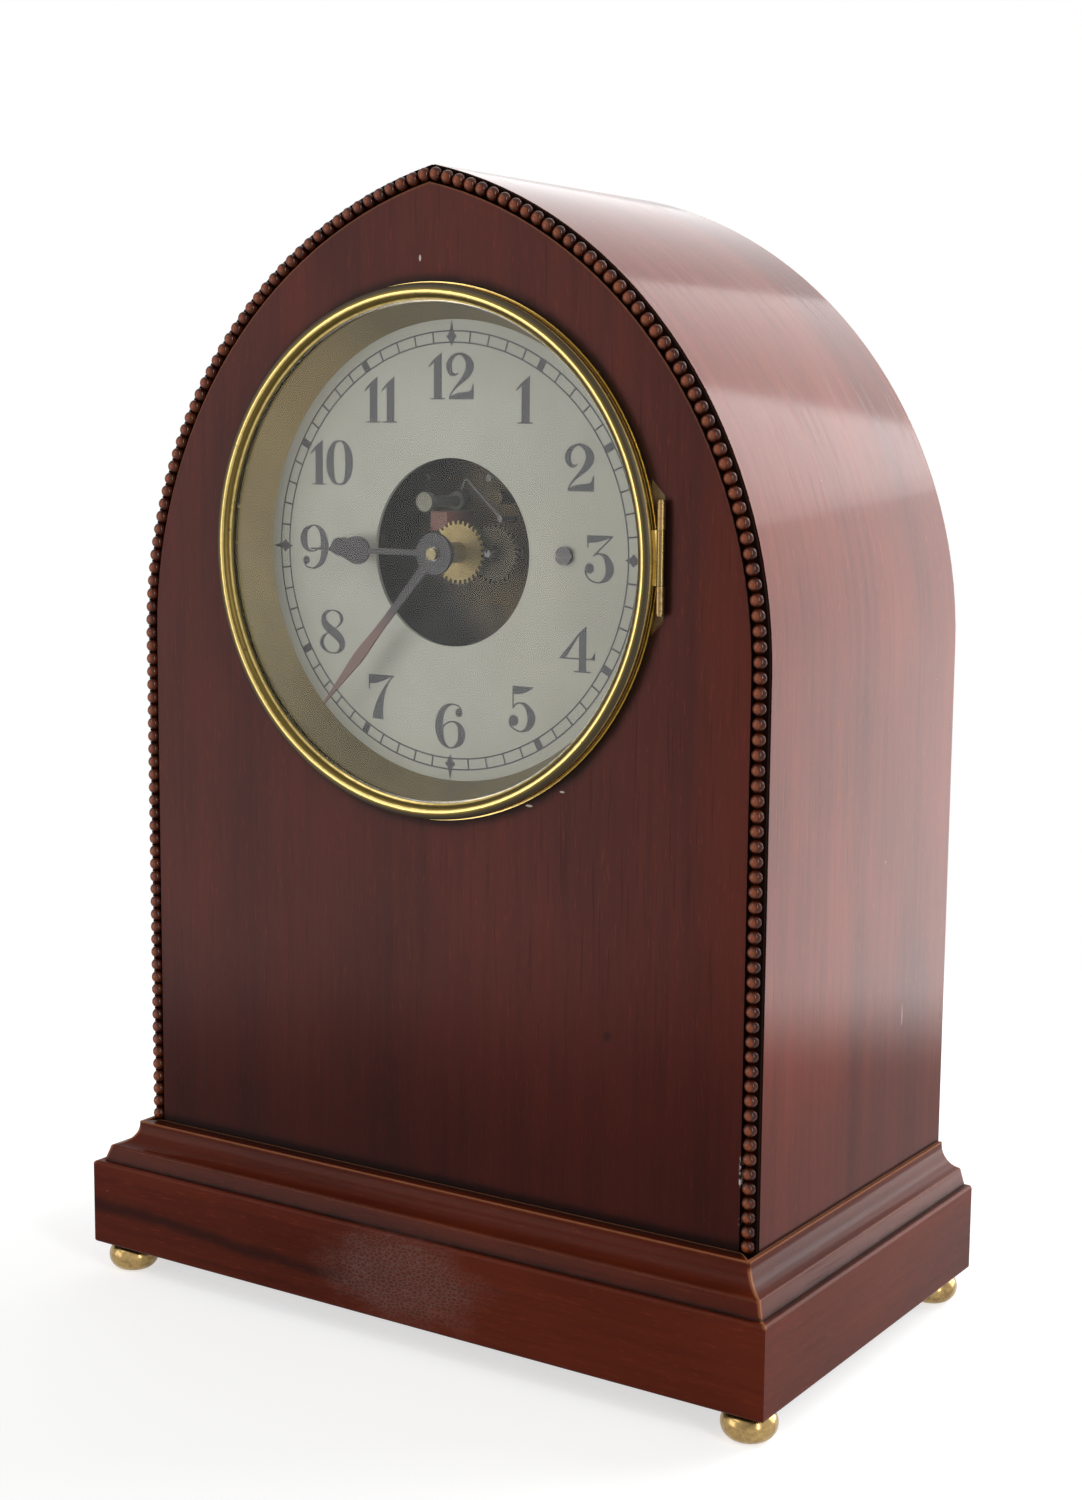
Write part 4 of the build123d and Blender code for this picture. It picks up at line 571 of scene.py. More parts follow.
dial_colour = dial.blend(dial_fleck * 0.7, dial_colour, DIAL_SPECK)
dial.surface(
    Base_Color=dial_colour,
    Metallic=0.25,
    Roughness=0.48 + 0.12 * dial_grain + 0.2 * dial_fleck,
    Normal=dial.bump(dial_grain, 0.01 * MM, 0.4),
    IOR=1.4,
)
dress(dial, "dial")

# The print on the dial: black wax ink, a minute track of two rails with ticks, blocks at the hours and
# four small stars, and the hours in upright figures with thick stems and hair lines.
INK_RISE = 0.06 * MM
INK_SINK = 0.03 * MM
INK_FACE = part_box("dial")[0].y
RAIL_OUTER = 65.0
RAIL_INNER = 61.7
RAIL_LINE = 0.46
TICK_LINE = 0.54
HAIR_LINE = 0.46
BLOCK_LINE = 2.3
STAR_TIPS = (68.1, 60.4)
STAR_HALF = 1.95
STAR_WAIST = 0.9
STAR_WAIST_REACH = (1.1, -1.0)
FIGURE_RING = 51.9
STROKE_STEPS = 7
INK = (0.022, 0.0215, 0.0225, 1)
INK_WORN = (0.075, 0.072, 0.068, 1)


# A smooth curve through points of x, z and line width, in millimetres from the middle of a figure.
def drawn_through(points):
    ends = [points[0]] + list(points) + [points[-1]]
    for a, b, c, d in zip(ends, ends[1:], ends[2:], ends[3:]):
        a, b, c, d = Vector(a), Vector(b), Vector(c), Vector(d)
        for step in range(STROKE_STEPS):
            t = step / STROKE_STEPS
            yield b + 0.5 * t * (c - a + t * (2 * a - 5 * b + 4 * c - d + t * (3 * (b - c) + d - a)))
    yield Vector(points[-1])


# A stroke of the pen along such a curve, in four-cornered pieces.
def stroke(*points):
    line = list(drawn_through(points))
    sides = []
    for before, here, after in zip([line[0]] + line, line, line[1:] + [line[-1]]):
        run = (after - before).to_2d().normalized()
        reach = Vector((-run.y, run.x)) * max(here.z, HAIR_LINE) / 2
        sides.append((here.to_2d() + reach, here.to_2d() - reach))
    return [[a, c, d, b] for (a, b), (c, d) in zip(sides, sides[1:])]


# One flat piece with straight edges between its corners.
def cut(*points):
    return [[Vector(point) for point in points]]


def ball(x, z, radius, count=28):
    turns = [math.tau * step / count for step in range(count)]
    return cut(*[(x + radius * math.cos(turn), z + radius * math.sin(turn)) for turn in turns])


def halves(*points):
    mirrored = [(-x, z, width) for x, z, width in reversed(points)]
    return stroke(*points) + stroke(*mirrored)


one = (
    cut((1.5, 6.95), (-1.42, 4.9), (-1.42, 4.2), (1.42, 4.2))
    + cut((-1.42, 4.95), (-3.4, 2.95), (-3.05, 2.55), (-1.42, 4.0))
    + cut((-1.42, 4.5), (-1.42, -6.6), (1.42, -6.6), (1.42, 4.5))
    + cut((-2.8, -6.36), (-2.8, -6.82), (2.6, -6.82), (2.6, -6.36))
)
two = stroke(
    (-0.75, 0.95, 0.12), (-1.45, 0.42, 0.5), (-2.35, 0.38, 1.0), (-3.4, 1.1, 1.6), (-4.0, 2.9, 2.05),
    (-3.05, 5.1, 1.45), (-0.45, 6.45, 0.72), (2.2, 5.35, 1.8), (3.5, 2.95, 2.9), (2.55, 0.5, 2.3),
    (0.45, -1.6, 1.35), (-1.65, -3.4, 0.75), (-3.2, -5.15, 0.42), (-3.85, -6.5, 0.32),
) + cut(
    (-4.0, -6.8), (-3.75, -6.15), (-2.4, -5.4), (-0.45, -4.85), (1.5, -4.66), (3.1, -4.5),
    (4.0, -3.95), (4.6, -2.3), (4.95, -2.3), (4.95, -6.8),
)
three = (
    cut(
        (-4.1, 6.8), (4.6, 6.8), (4.6, 6.55), (1.8, 5.55),
        (-0.2, 4.95), (-2.1, 4.66), (-3.72, 4.66), (-4.1, 5.0),
    )
    + cut((-4.1, 6.0), (-4.1, 3.3), (-3.66, 3.3), (-3.58, 4.8), (-3.2, 6.0))
    + stroke((4.45, 6.62, 0.34), (1.2, 3.7, 0.26), (-1.95, 0.85, 0.26))
    + stroke(
        (-1.95, 0.87, 0.2), (-0.95, 1.45, 0.32), (0.5, 1.5, 0.6), (2.3, 0.55, 1.7), (3.6, -2.5, 2.78),
        (2.6, -5.3, 1.8), (-0.1, -6.62, 0.38), (-2.8, -6.05, 0.42), (-4.35, -4.5, 0.55),
        (-4.6, -3.1, 0.7),
    )
    + ball(-3.2, -2.65, 1.5)
)
four = (
    cut((2.96, 6.75), (0.5, 4.65), (0.5, -6.6), (2.96, -6.6))
    + cut((0.55, 4.75), (0.55, 3.95), (-3.9, -2.7), (-6.2, -2.95))
    + cut((-6.2, -2.66), (-6.2, -3.12), (5.97, -3.12), (5.97, -2.66))
    + cut((5.97, -3.0), (5.97, -0.35), (5.3, -1.75), (4.4, -2.75))
    + cut((-1.2, -6.36), (-1.2, -6.82), (4.6, -6.82), (4.6, -6.36))
)
five = (
    cut((-3.5, 6.8), (3.95, 6.8), (3.95, 6.6), (1.5, 5.15), (-0.7, 4.42), (-3.5, 4.35))
    + cut((-3.5, 6.8), (-3.5, 0.1), (-3.04, 0.1), (-3.04, 6.8))
    + stroke(
        (-3.35, 0.2, 0.28), (-2.2, 1.45, 0.34), (-0.7, 1.8, 0.5), (1.3, 1.1, 1.4), (3.25, -2.1, 2.8),
        (2.2, -5.2, 1.8), (-0.3, -6.62, 0.38), (-2.5, -6.2, 0.42), (-4.15, -5.0, 0.6), (-4.5, -3.7, 0.7),
    )
    + ball(-3.05, -3.5, 1.65)
)
six = (
    ball(3.15, 4.2, 1.3)
    + stroke(
        (4.2, 4.5, 0.5), (3.3, 6.0, 0.42), (1.5, 6.6, 0.4), (-0.6, 6.3, 0.9), (-2.9, 4.5, 1.9),
        (-4.0, 1.5, 2.7), (-4.05, -1.2, 2.9), (-3.2, -4.4, 2.1), (-1.5, -6.15, 0.95),
        (0.0, -6.62, 0.36), (1.7, -6.15, 0.9), (3.5, -4.7, 2.0), (4.15, -2.4, 2.75),
        (3.6, -0.2, 2.0), (2.3, 1.0, 0.95), (0.8, 1.4, 0.42), (-1.2, 0.8, 0.3), (-2.75, -0.5, 0.25),
    )
)
seven = (
    cut(
        (-4.85, 6.8), (4.85, 6.8), (4.85, 6.6), (3.2, 6.05),
        (0.9, 5.05), (-2.1, 4.05), (-4.5, 3.95), (-4.85, 4.3),
    )
    + cut((-4.85, 6.0), (-4.85, 2.2), (-4.41, 2.2), (-4.3, 4.2), (-4.0, 6.0))
    + stroke(
        (4.6, 6.6, 0.3), (3.1, 5.1, 0.5), (1.7, 3.2, 0.95), (0.5, 0.9, 1.7),
        (-0.5, -1.9, 2.7), (-1.15, -4.6, 3.6), (-1.3, -6.8, 4.2),
    )
)
eight = stroke(
    (0.3, 6.66, 0.36), (-2.1, 6.0, 1.0), (-3.3, 4.2, 1.9), (-2.6, 1.95, 2.5), (0, 0.1, 2.9),
    (2.9, -1.9, 2.75), (3.85, -4.0, 2.2), (2.6, -6.0, 1.1), (0.2, -6.64, 0.36), (-2.4, -6.0, 0.8),
    (-4.1, -4.0, 1.6), (-3.6, -1.9, 1.1), (-1.7, -0.4, 0.42), (1.6, 1.3, 0.36), (3.3, 2.9, 0.9),
    (3.65, 4.3, 1.35), (2.6, 6.0, 0.8), (0.3, 6.66, 0.36),
)
nine = [[-corner for corner in piece] for piece in six]
nought = halves(
    (0, 6.62, 0.36), (1.9, 5.9, 1.2), (3.3, 3.3, 2.5), (3.66, 0, 2.9), (3.3, -3.3, 2.5), (1.9, -5.9, 1.2),
    (0, -6.62, 0.36),
)


def moved(figure, shift):
    return [[corner + shift for corner in piece] for piece in figure]


def beside(*placed):
    pieces = []
    for shift, figure in placed:
        pieces += moved(figure, Vector((shift, 0)))
    return pieces


hours = {
    1: beside((0.35, one)), 2: two, 3: three, 4: four, 5: five, 6: six, 7: seven, 8: eight, 9: nine,
    10: beside((-4.9, one), (3.05, nought)),
    11: beside((-2.85, one), (3.55, one)),
    12: beside((-4.95, one), (3.1, two)),
}


def radial(hour):
    turn = math.tau * hour / 12
    return Vector((math.sin(turn), math.cos(turn)))


def piece_of(name, sheet):
    mesh = bpy.data.meshes.new(name)
    sheet.to_mesh(mesh)
    sheet.free()
    piece = bpy.data.objects.new(name, mesh)
    scene.collection.objects.link(piece)
    return piece


def printed(name, pieces):
    corners, faces = [], []
    for piece in pieces:
        sweep = sum(a.x * b.y - a.y * b.x for a, b in zip(piece, piece[1:] + piece[:1]))
        faces.append(list(range(len(corners), len(corners) + len(piece))))
        corners += piece if sweep > 0 else piece[::-1]
    points, _, flats, _, _, sources = delaunay_2d_cdt(corners, [], faces, 1, 1e-4)
    sheet = bmesh.new()
    laid = [sheet.verts.new((x * MM, INK_FACE + INK_SINK, z * MM + DIAL_Z)) for x, z in points]
    for flat, source in zip(flats, sources):
        if source:
            sheet.faces.new([laid[corner] for corner in flat])
    lifted = bmesh.ops.extrude_face_region(sheet, geom=sheet.faces[:])
    raised = [part for part in lifted["geom"] if isinstance(part, bmesh.types.BMVert)]
    bmesh.ops.translate(sheet, verts=raised, vec=(0, -INK_RISE - INK_SINK, 0))
    bmesh.ops.delete(sheet, geom=[vert for vert in sheet.verts if not vert.link_faces], context="VERTS")
    bmesh.ops.triangulate(sheet, faces=sheet.faces[:])
    bmesh.ops.recalc_face_normals(sheet, faces=sheet.faces[:])
    return piece_of(name, sheet)


def rail(radius, count=240):
    rims = []
    for step in range(count + 1):
        along = radial(12 * step / count)
        rims.append((along * (radius - RAIL_LINE / 2), along * (radius + RAIL_LINE / 2)))
    return [[a, b, d, c] for (a, b), (c, d) in zip(rims, rims[1:])]


def spoke(hour, width):
    out = radial(hour)
    side = Vector((out.y, -out.x)) * width / 2
    inner, outer = out * RAIL_INNER, out * RAIL_OUTER
    return [[inner - side, outer - side, outer + side, inner + side]]


def star(hour):
    out = radial(hour)
    side = Vector((out.y, -out.x))
    middle = (RAIL_INNER + RAIL_OUTER) / 2
    high, low = [(middle + reach, STAR_WAIST) for reach in STAR_WAIST_REACH]
    edge = [high, (middle, STAR_HALF), low]
    other_edge = [(reach, -half) for reach, half in reversed(edge)]
    shape = [(STAR_TIPS[0], 0)] + edge + [(STAR_TIPS[1], 0)] + other_edge
    return [[out * reach + side * half for reach, half in shape]]


track = rail(RAIL_OUTER) + rail(RAIL_INNER)
for minute in range(60):
    if minute % 15 == 0:
        track += star(minute / 5)
    else:
        track += spoke(minute / 5, BLOCK_LINE if minute % 5 == 0 else TICK_LINE)

ink = finish("dial_ink")
ink_place = ink.place()
ink_thin = ink.noise(ink_place, 420, 4, 0.65)
ink.surface(
    Base_Color=ink.blend(ink_thin.between(0.55, 0.8) * 0.35, INK, INK_WORN),
    Roughness=0.42 + 0.2 * ink_thin,
    Normal=ink.bump(ink_thin, 0.01 * MM, 0.4),
)
prints = [printed("minute_track", track)]
for hour, figure in hours.items():
    prints.append(printed(f"hour_figure_{hour}", moved(figure, radial(hour) * FIGURE_RING)))
for piece in prints:
    piece.data.materials.append(ink.owner)
    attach(piece, "case")

# The screws: turned steel, blued, two slotted heads that hold the dial, four at the dial's rim, and the
# round heads that hold the plates together and fix the stand to the base.
BLUE_DARK = (0.040, 0.038, 0.040, 1)
BLUE_BROWNED = (0.080, 0.070, 0.066, 1)
BLUE_RUBBED = (0.24, 0.22, 0.21, 1)
blue = finish("blued_screws")
blue_place = blue.place()
blue_cloud = blue.noise(blue_place, 420, 4, 0.6)
blue_colour = blue.blend(blue_cloud.between(0.35, 0.7), BLUE_DARK, BLUE_BROWNED)
blue_edge = (blue.arris(0.4 * MM) * (0.5 + blue_cloud)).between(0.05, 0.3)
blue.surface(
    Base_Color=blue.blend(blue_edge * 0.6, blue_colour, BLUE_RUBBED),
    Metallic=0.5,
    Roughness=0.32 + 0.2 * blue_cloud,
    Normal=blue.bump(blue_cloud, 0.02 * MM, 0.4),
)
dress(blue, "dial_screws", "rim_screws", "frame_screws", "wood_screws")

# The movement frame: two brass plates held apart by four turned pillars, with the cock that carries the
# pendulum; the front plate, behind the dial's open middle, is painted far darker as painted shade.
PLATE_BRASS = (0.34, 0.23, 0.09, 1)
PLATE_AGED = (0.23, 0.152, 0.062, 1)
FRONT_PLATE_SHADED_BRASS = (0.055, 0.040, 0.022, 1)
FRONT_PLATE_SHADED_AGED = (0.022, 0.017, 0.011, 1)
dress(
    brass("plate_brass", PLATE_BRASS, PLATE_AGED, smooth=0.30, dull=0.50, tarnish=0.8, reach=6 * MM),
    "back_plate", "plate_pillars", "suspension_cock", "magnet_brackets", "rating_nut",
)
# Painted shade: the front plate's brass is made far darker than the back plate's.
shaded_front_brass = brass(
    "front_plate_painted_shade_brass", FRONT_PLATE_SHADED_BRASS, FRONT_PLATE_SHADED_AGED,
    smooth=0.42, dull=0.62, tarnish=0.9, reach=8 * MM,
)
dress(shaded_front_brass, "front_plate")

# The movement stand: an iron upright on a foot, japanned black, screwed down to the base to carry the
# plates, with the black worn off its edges.
JAPAN_BLACK = (0.018, 0.017, 0.016, 1)
JAPAN_WORN = (0.16, 0.13, 0.11, 1)
japan = finish("japanned_iron")
japan_place = japan.place()
japan_skin = japan.noise(japan_place, 260, 4, 0.6)
japan_worn = (japan.arris(0.9 * MM) * (0.3 + japan_skin)).between(0.12, 0.32)
japan.surface(
    Base_Color=japan.blend(japan_worn * 0.7, JAPAN_BLACK, JAPAN_WORN),
    Metallic=0.6 * japan_worn,
    Roughness=0.34 + 0.16 * japan_skin + 0.15 * japan_worn,
    Normal=japan.bump(japan_skin, 0.08 * MM, 0.5),
)
dress(japan, "movement_stand")

# The wheels: cut brass, the hour wheel bright behind the hands and the minute wheel beside it painted
# darker as painted shade, with the centre, third and count wheels between the plates, and the small nut
# that holds the hands.
HOUR_BRIGHT = (0.245, 0.188, 0.081, 1)
HOUR_AGED = (0.146, 0.110, 0.048, 1)
NUT_BRIGHT = (0.15, 0.125, 0.065, 1)
NUT_AGED = (0.08, 0.063, 0.034, 1)
MINUTE_SHADED_CLEAN = (0.064, 0.053, 0.037, 1)
MINUTE_SHADED_AGED = (0.032, 0.026, 0.018, 1)
TRAIN_BRIGHT = (0.62, 0.44, 0.16, 1)
TRAIN_AGED = (0.36, 0.25, 0.10, 1)
dress(
    brass("bright_wheel", HOUR_BRIGHT, HOUR_AGED, smooth=0.42, dull=0.58, tarnish=0.7, reach=1.2 * MM),
    "hour_wheel",
)
dress(
    brass("nut_brass", NUT_BRIGHT, NUT_AGED, smooth=0.36, dull=0.55, tarnish=0.8, reach=1.0 * MM),
    "hand_nut",
)
# Painted shade: the minute wheel's brass is made near black.
dress(
    brass("shaded_minute_wheel", MINUTE_SHADED_CLEAN, MINUTE_SHADED_AGED, smooth=0.42, dull=0.60, tarnish=0.8, reach=1.2 * MM),
    "minute_wheel",
)
dress(
    brass("train_wheel", TRAIN_BRIGHT, TRAIN_AGED, smooth=0.24, dull=0.46, tarnish=0.7, reach=1.5 * MM),
    "centre_wheel", "third_wheel", "count_wheel",
)

# The arbors, rod, lever and springs: drawn and turned steel, polished, faintly brown with old oil; the
# magnet is hardened steel and the contact post is nickelled.
STEEL = (0.46, 0.45, 0.44, 1)
STEEL_OILED = (0.20, 0.15, 0.12, 1)
LEVER = (0.17, 0.165, 0.15, 1)
LEVER_OILED = (0.085, 0.072, 0.058, 1)
NICKEL = (0.15, 0.145, 0.115, 1)
NICKEL_STAINED = (0.085, 0.080, 0.062, 1)
MAGNET = (0.34, 0.34, 0.35, 1)
MAGNET_STAINED = (0.16, 0.13, 0.12, 1)


def bright_metal(name, clean, stained, smooth):
    metal = finish(name)
    here = metal.place()
    drawn = metal.noise(metal.vector("MULTIPLY", here, (1, 1, 0.08)), 900, 3, 0.6)
    stain = metal.noise(here, 150, 4, 0.65).between(0.5, 0.75)
    edge = (metal.arris(0.5 * MM) * (0.5 + drawn)).between(0.05, 0.3)
    colour = metal.blend(stain * 0.7, clean, stained)
    metal.surface(
        Base_Color=metal.blend(edge * 0.3, colour, clean),
        Metallic=1 - 0.25 * stain,
        Roughness=smooth + 0.16 * drawn + 0.2 * stain,
        Normal=metal.bump(drawn, 0.01 * MM, 0.4),
    )
    return metal


dress(
    bright_metal("arbor_steel", STEEL, STEEL_OILED, smooth=0.2),
    "centre_arbor", "minute_stud", "cannon_pinion", "suspension_spring",
    "pendulum_rod", "coil_hanger", "cell_clip",
)
dress(
    bright_metal("lever_steel", LEVER, LEVER_OILED, smooth=0.45),
    "contact_lever", "contact_springs",
)
dress(bright_metal("nickel", NICKEL, NICKEL_STAINED, smooth=0.58), "contact_post")
dress(bright_metal("magnet_steel", MAGNET, MAGNET_STAINED, smooth=0.26), "bar_magnet")

# The insulating block and the bobbin: red vulcanised fibre, the block sawn and the bobbin turned, a
# little bleached on the edges.
FIBRE_DARK = (0.115, 0.035, 0.022, 1)
FIBRE_RED = (0.20, 0.075, 0.05, 1)
FIBRE_BLEACHED = (0.30, 0.15, 0.11, 1)
fibre = finish("red_fibre")
fibre_place = fibre.place()
fibre_mottle = fibre.noise(fibre_place, 500, 4, 0.65)
fibre_edge = (fibre.arris(0.7 * MM) * (0.4 + fibre_mottle)).between(0.1, 0.3)
fibre_colour = fibre.blend(fibre_mottle.between(0.3, 0.7), FIBRE_DARK, FIBRE_RED)
fibre.surface(
    Base_Color=fibre.blend(fibre_edge * 0.5, fibre_colour, FIBRE_BLEACHED),
    Roughness=0.5 + 0.2 * fibre_mottle,
    Normal=fibre.bump(fibre_mottle, 0.03 * MM, 0.5),
)
dress(fibre, "insulating_block", "coil_bobbin")

# The hands: sheet steel blued and gone brown, filed to a spade and a leaf and pushed on the arbor, the
# minute hand redder towards its point.
HAND_BLUE = (0.020, 0.017, 0.018, 1)
HAND_BROWN = (0.036, 0.030, 0.031, 1)
HAND_RED = (0.125, 0.066, 0.050, 1)
HAND_RUBBED = (0.24, 0.17, 0.15, 1)
RED_FROM = (20 * MM, 34 * MM)
MINUTE_HAND_Y = (-54.6 * MM, -55.2 * MM)
hand = finish("browned_hands")
hand_place = hand.place()
hand_radius, _ = turned_place(hand, hand_place)
hand_cloud = hand.noise(hand_place, 300, 4, 0.6)
hand_red = hand_radius.between(*RED_FROM) * hand.part(hand_place, "Y").between(*MINUTE_HAND_Y)
hand_colour = hand.blend(hand_cloud.between(0.35, 0.7), HAND_BLUE, HAND_BROWN)
hand_colour = hand.blend(hand_red * 0.85, hand_colour, HAND_RED)
hand_edge = (hand.arris(0.3 * MM) * (0.4 + hand_cloud)).between(0.08, 0.35)
hand.surface(
    Base_Color=hand.blend(hand_edge * 0.4, hand_colour, HAND_RUBBED),
    Metallic=0.35,
    Roughness=0.46 + 0.18 * hand_cloud,
    Normal=hand.bump(hand_cloud, 0.02 * MM, 0.4),
)
dress(hand, "hour_hand", "minute_hand")

# The bezel: a spun brass ring with its hinge knuckle on the right, and the thin ring inside that keeps
# the glass in; yellow where it is rubbed and where bands on its rim, crest and lip carry a painted
# highlight, nearly black in its groove with tarnish and painted shade, and brown on the knuckle.
BEZEL_RIM = (77.65 * MM, 77.9 * MM)
BEZEL_GROOVE = (76.3 * MM, 76.8 * MM)
BEZEL_CREST = (75.5 * MM, 0.85 * MM)
BEZEL_LIP = (74.0 * MM, 73.6 * MM)
KNUCKLE_X = (78.3 * MM, 78.8 * MM)
BEZEL_DULL = (0.11, 0.078, 0.022, 1)
BEZEL_RUBBED_AND_HIGHLIGHT = (0.52, 0.39, 0.145, 1)
BEZEL_TARNISH_AND_SHADE = (0.035, 0.024, 0.009, 1)
KNUCKLE_BROWN = (0.12, 0.080, 0.034, 1)
bezel = finish("bezel_brass")
bezel_place = bezel.place()
bezel_radius, _ = turned_place(bezel, bezel_place)
bezel_cloud = bezel.noise(bezel_place, 70, 5, 0.65)
bezel_fleck = bezel.noise(bezel_place, 620, 3, 0.65)
# Painted highlight and shade: bands round the rim, crest and lip are made yellow, and the groove near black.
crest = 1 - (bezel_radius - BEZEL_CREST[0]).size() / BEZEL_CREST[1]
rim = bezel_radius.between(*BEZEL_RIM)
rubbed_and_highlight = rim.larger(crest.between(0.1, 0.8)).larger(bezel_radius.between(*BEZEL_LIP) * 0.8)
rubbed_and_highlight = (rubbed_and_highlight + 0.8 * bezel_cloud + 0.75 * bezel_fleck - 0.77).between(0.2, 0.95)
groove_tarnish_and_shade = bezel_radius.between(*BEZEL_GROOVE) * (1 - rim)
pit = bezel.noise(bezel_place, 340, 3, 0.6).between(0.64, 0.74) * bezel_cloud.between(0.45, 0.65)
bezel_colour = bezel.blend(rubbed_and_highlight, BEZEL_DULL, BEZEL_RUBBED_AND_HIGHLIGHT)
bezel_colour = bezel.blend((groove_tarnish_and_shade * 0.9).larger(pit * 0.8), bezel_colour, BEZEL_TARNISH_AND_SHADE)
knuckle = bezel.part(bezel_place, "X").between(*KNUCKLE_X)
bezel_colour = bezel.blend(knuckle * 0.85, bezel_colour, KNUCKLE_BROWN)
bezel.surface(
    Base_Color=bezel_colour,
    Metallic=1 - 0.5 * groove_tarnish_and_shade.larger(pit),
    Roughness=0.36 - 0.2 * rubbed_and_highlight + 0.12 * bezel_fleck + 0.3 * pit,
    Normal=bezel.bump(bezel_fleck - pit, 0.06 * MM, 0.6),
)
dress(bezel, "bezel_ring", "glass_retainer")

# The bezel's hinge: a cast brass leaf let into the panel and a drawn pin through the knuckles, brown with
# age and rubbed yellow on the front.
LEAF_RUBBED_Y = (-60.0 * MM, -60.9 * MM)
LEAF_DARK = (0.075, 0.045, 0.020, 1)
LEAF_BROWN = (0.13, 0.085, 0.036, 1)
LEAF_RUBBED = (0.25, 0.165, 0.07, 1)
leaf = finish("hinge_brass")
leaf_place = leaf.place()
leaf_cloud = leaf.noise(leaf_place, 180, 4, 0.65)
leaf_fleck = leaf.noise(leaf_place, 900, 3, 0.6)
leaf_rub = (leaf.part(leaf_place, "Y") + 0.8 * MM * leaf_cloud).between(*LEAF_RUBBED_Y)
leaf_colour = leaf.blend(leaf_cloud.between(0.35, 0.7), LEAF_DARK, LEAF_BROWN)
leaf_colour = leaf.blend(leaf_rub * leaf_fleck.between(0.3, 0.5), leaf_colour, LEAF_RUBBED)
leaf.surface(
    Base_Color=leaf_colour,
    Metallic=0.6 + 0.4 * leaf_rub,
    Roughness=0.46 - 0.18 * leaf_rub + 0.12 * leaf_fleck,
    Normal=leaf.bump(leaf_fleck, 0.02 * MM, 0.4),
)
dress(leaf, "bezel_hinge_leaf", "bezel_hinge_pin")

# The glass: a flat disc cut from sheet and held in the bezel, clear, with a faint smear where it was
# wiped, and a painted highlight round its rim that shows white.
GLASS_RIM_HIGHLIGHT = (72.7 * MM, 73.2 * MM)
glass = finish("flat_glass")
glass_place = glass.place()
glass_smear = glass.noise(glass_place, 30, 4, 0.65)
# A painted highlight: a ring near the rim is made more opaque so the mirror shows white there.
glass_rim_highlight = turned_place(glass, glass_place)[0].between(*GLASS_RIM_HIGHLIGHT)
glass.surface(
    Base_Color=(0.92, 0.95, 0.95, 1),
    Metallic=1.0,
    Roughness=0.02 + 0.05 * glass_smear.between(0.45, 0.8),
    Alpha=0.0085 + 0.003 * glass_smear.between(0.5, 0.8) + 0.16 * glass_rim_highlight,
)
dress(glass, "dial_glass")

# The coil: fine silk-covered wire wound in even turns on the fibre bobbin, varnished, that swings
# over the bar magnet at the foot of the pendulum, with painted shade in the grooves between the turns.
COIL_TURNS = 46
COIL_GROOVE = 0.22 * MM
COIL_SIDES = 96
COIL_CUTS = 6
COIL_INNER = 9.6 * MM
SILK_DARK = (0.055, 0.115, 0.055, 1)
SILK_GREEN = (0.10, 0.17, 0.075, 1)
SILK_GROOVE_SHADE = (0.018, 0.030, 0.016, 1)

coil_low, coil_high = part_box("coil_winding")
coil_middle = (coil_low + coil_high) / 2
coil_outer = (coil_high.z - coil_low.z) / 2
coil_sheet = bmesh.new()


def coil_point(x, radius, turn):
    angle = math.tau * turn
    y = coil_middle.y + radius * math.cos(angle)
    return coil_sheet.verts.new((x, y, coil_middle.z + radius * math.sin(angle)))


coil_rings = []
for step in range(COIL_TURNS * COIL_CUTS + 1):
    run = step / (COIL_TURNS * COIL_CUTS)
    x = coil_low.x + (coil_high.x - coil_low.x) * run
    loop = []
    for side in range(COIL_SIDES):
        turn = side / COIL_SIDES
        wave = abs(math.sin(math.pi * (run * COIL_TURNS - turn)))
        loop.append(coil_point(x, coil_outer - COIL_GROOVE * (1 - wave), turn))
    coil_rings.append(loop)
first_end, last_end = [
    [coil_point(x, COIL_INNER, side / COIL_SIDES) for side in range(COIL_SIDES)]
    for x in (coil_low.x, coil_high.x)
]
coil_rings = [first_end] + coil_rings + [last_end]
for near, far in zip(coil_rings, coil_rings[1:] + coil_rings[:1]):
    for side in range(COIL_SIDES):
        after = (side + 1) % COIL_SIDES
        coil_sheet.faces.new((near[side], near[after], far[after], far[side]))
bmesh.ops.recalc_face_normals(coil_sheet, faces=coil_sheet.faces[:])
coil = piece_of("wound_coil", coil_sheet)
for face in coil.data.polygons:
    face.use_smooth = True
silk = finish("silk_wire")
silk_place = silk.place()
silk_weave = silk.noise(silk_place, 1800, 2, 0.5)
silk_cloud = silk.noise(silk_place, 110, 4, 0.6)
# Painted shade: the grooves between the turns are made darker.
silk_groove_shade = (silk.hollow(0.5 * MM) + 0.3 * silk_cloud).between(0.25, 0.7)
silk_colour = silk.blend(silk_cloud.between(0.35, 0.7), SILK_DARK, SILK_GREEN)
silk.surface(
    Base_Color=silk.blend(silk_groove_shade * 0.8, silk_colour, SILK_GROOVE_SHADE),
    Roughness=0.42 + 0.25 * silk_weave,
    Normal=silk.bump(silk_weave, 0.04 * MM, 0.5),
)
coil.data.materials.append(silk.owner)
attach(coil, "pendulum")
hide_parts("coil_winding")

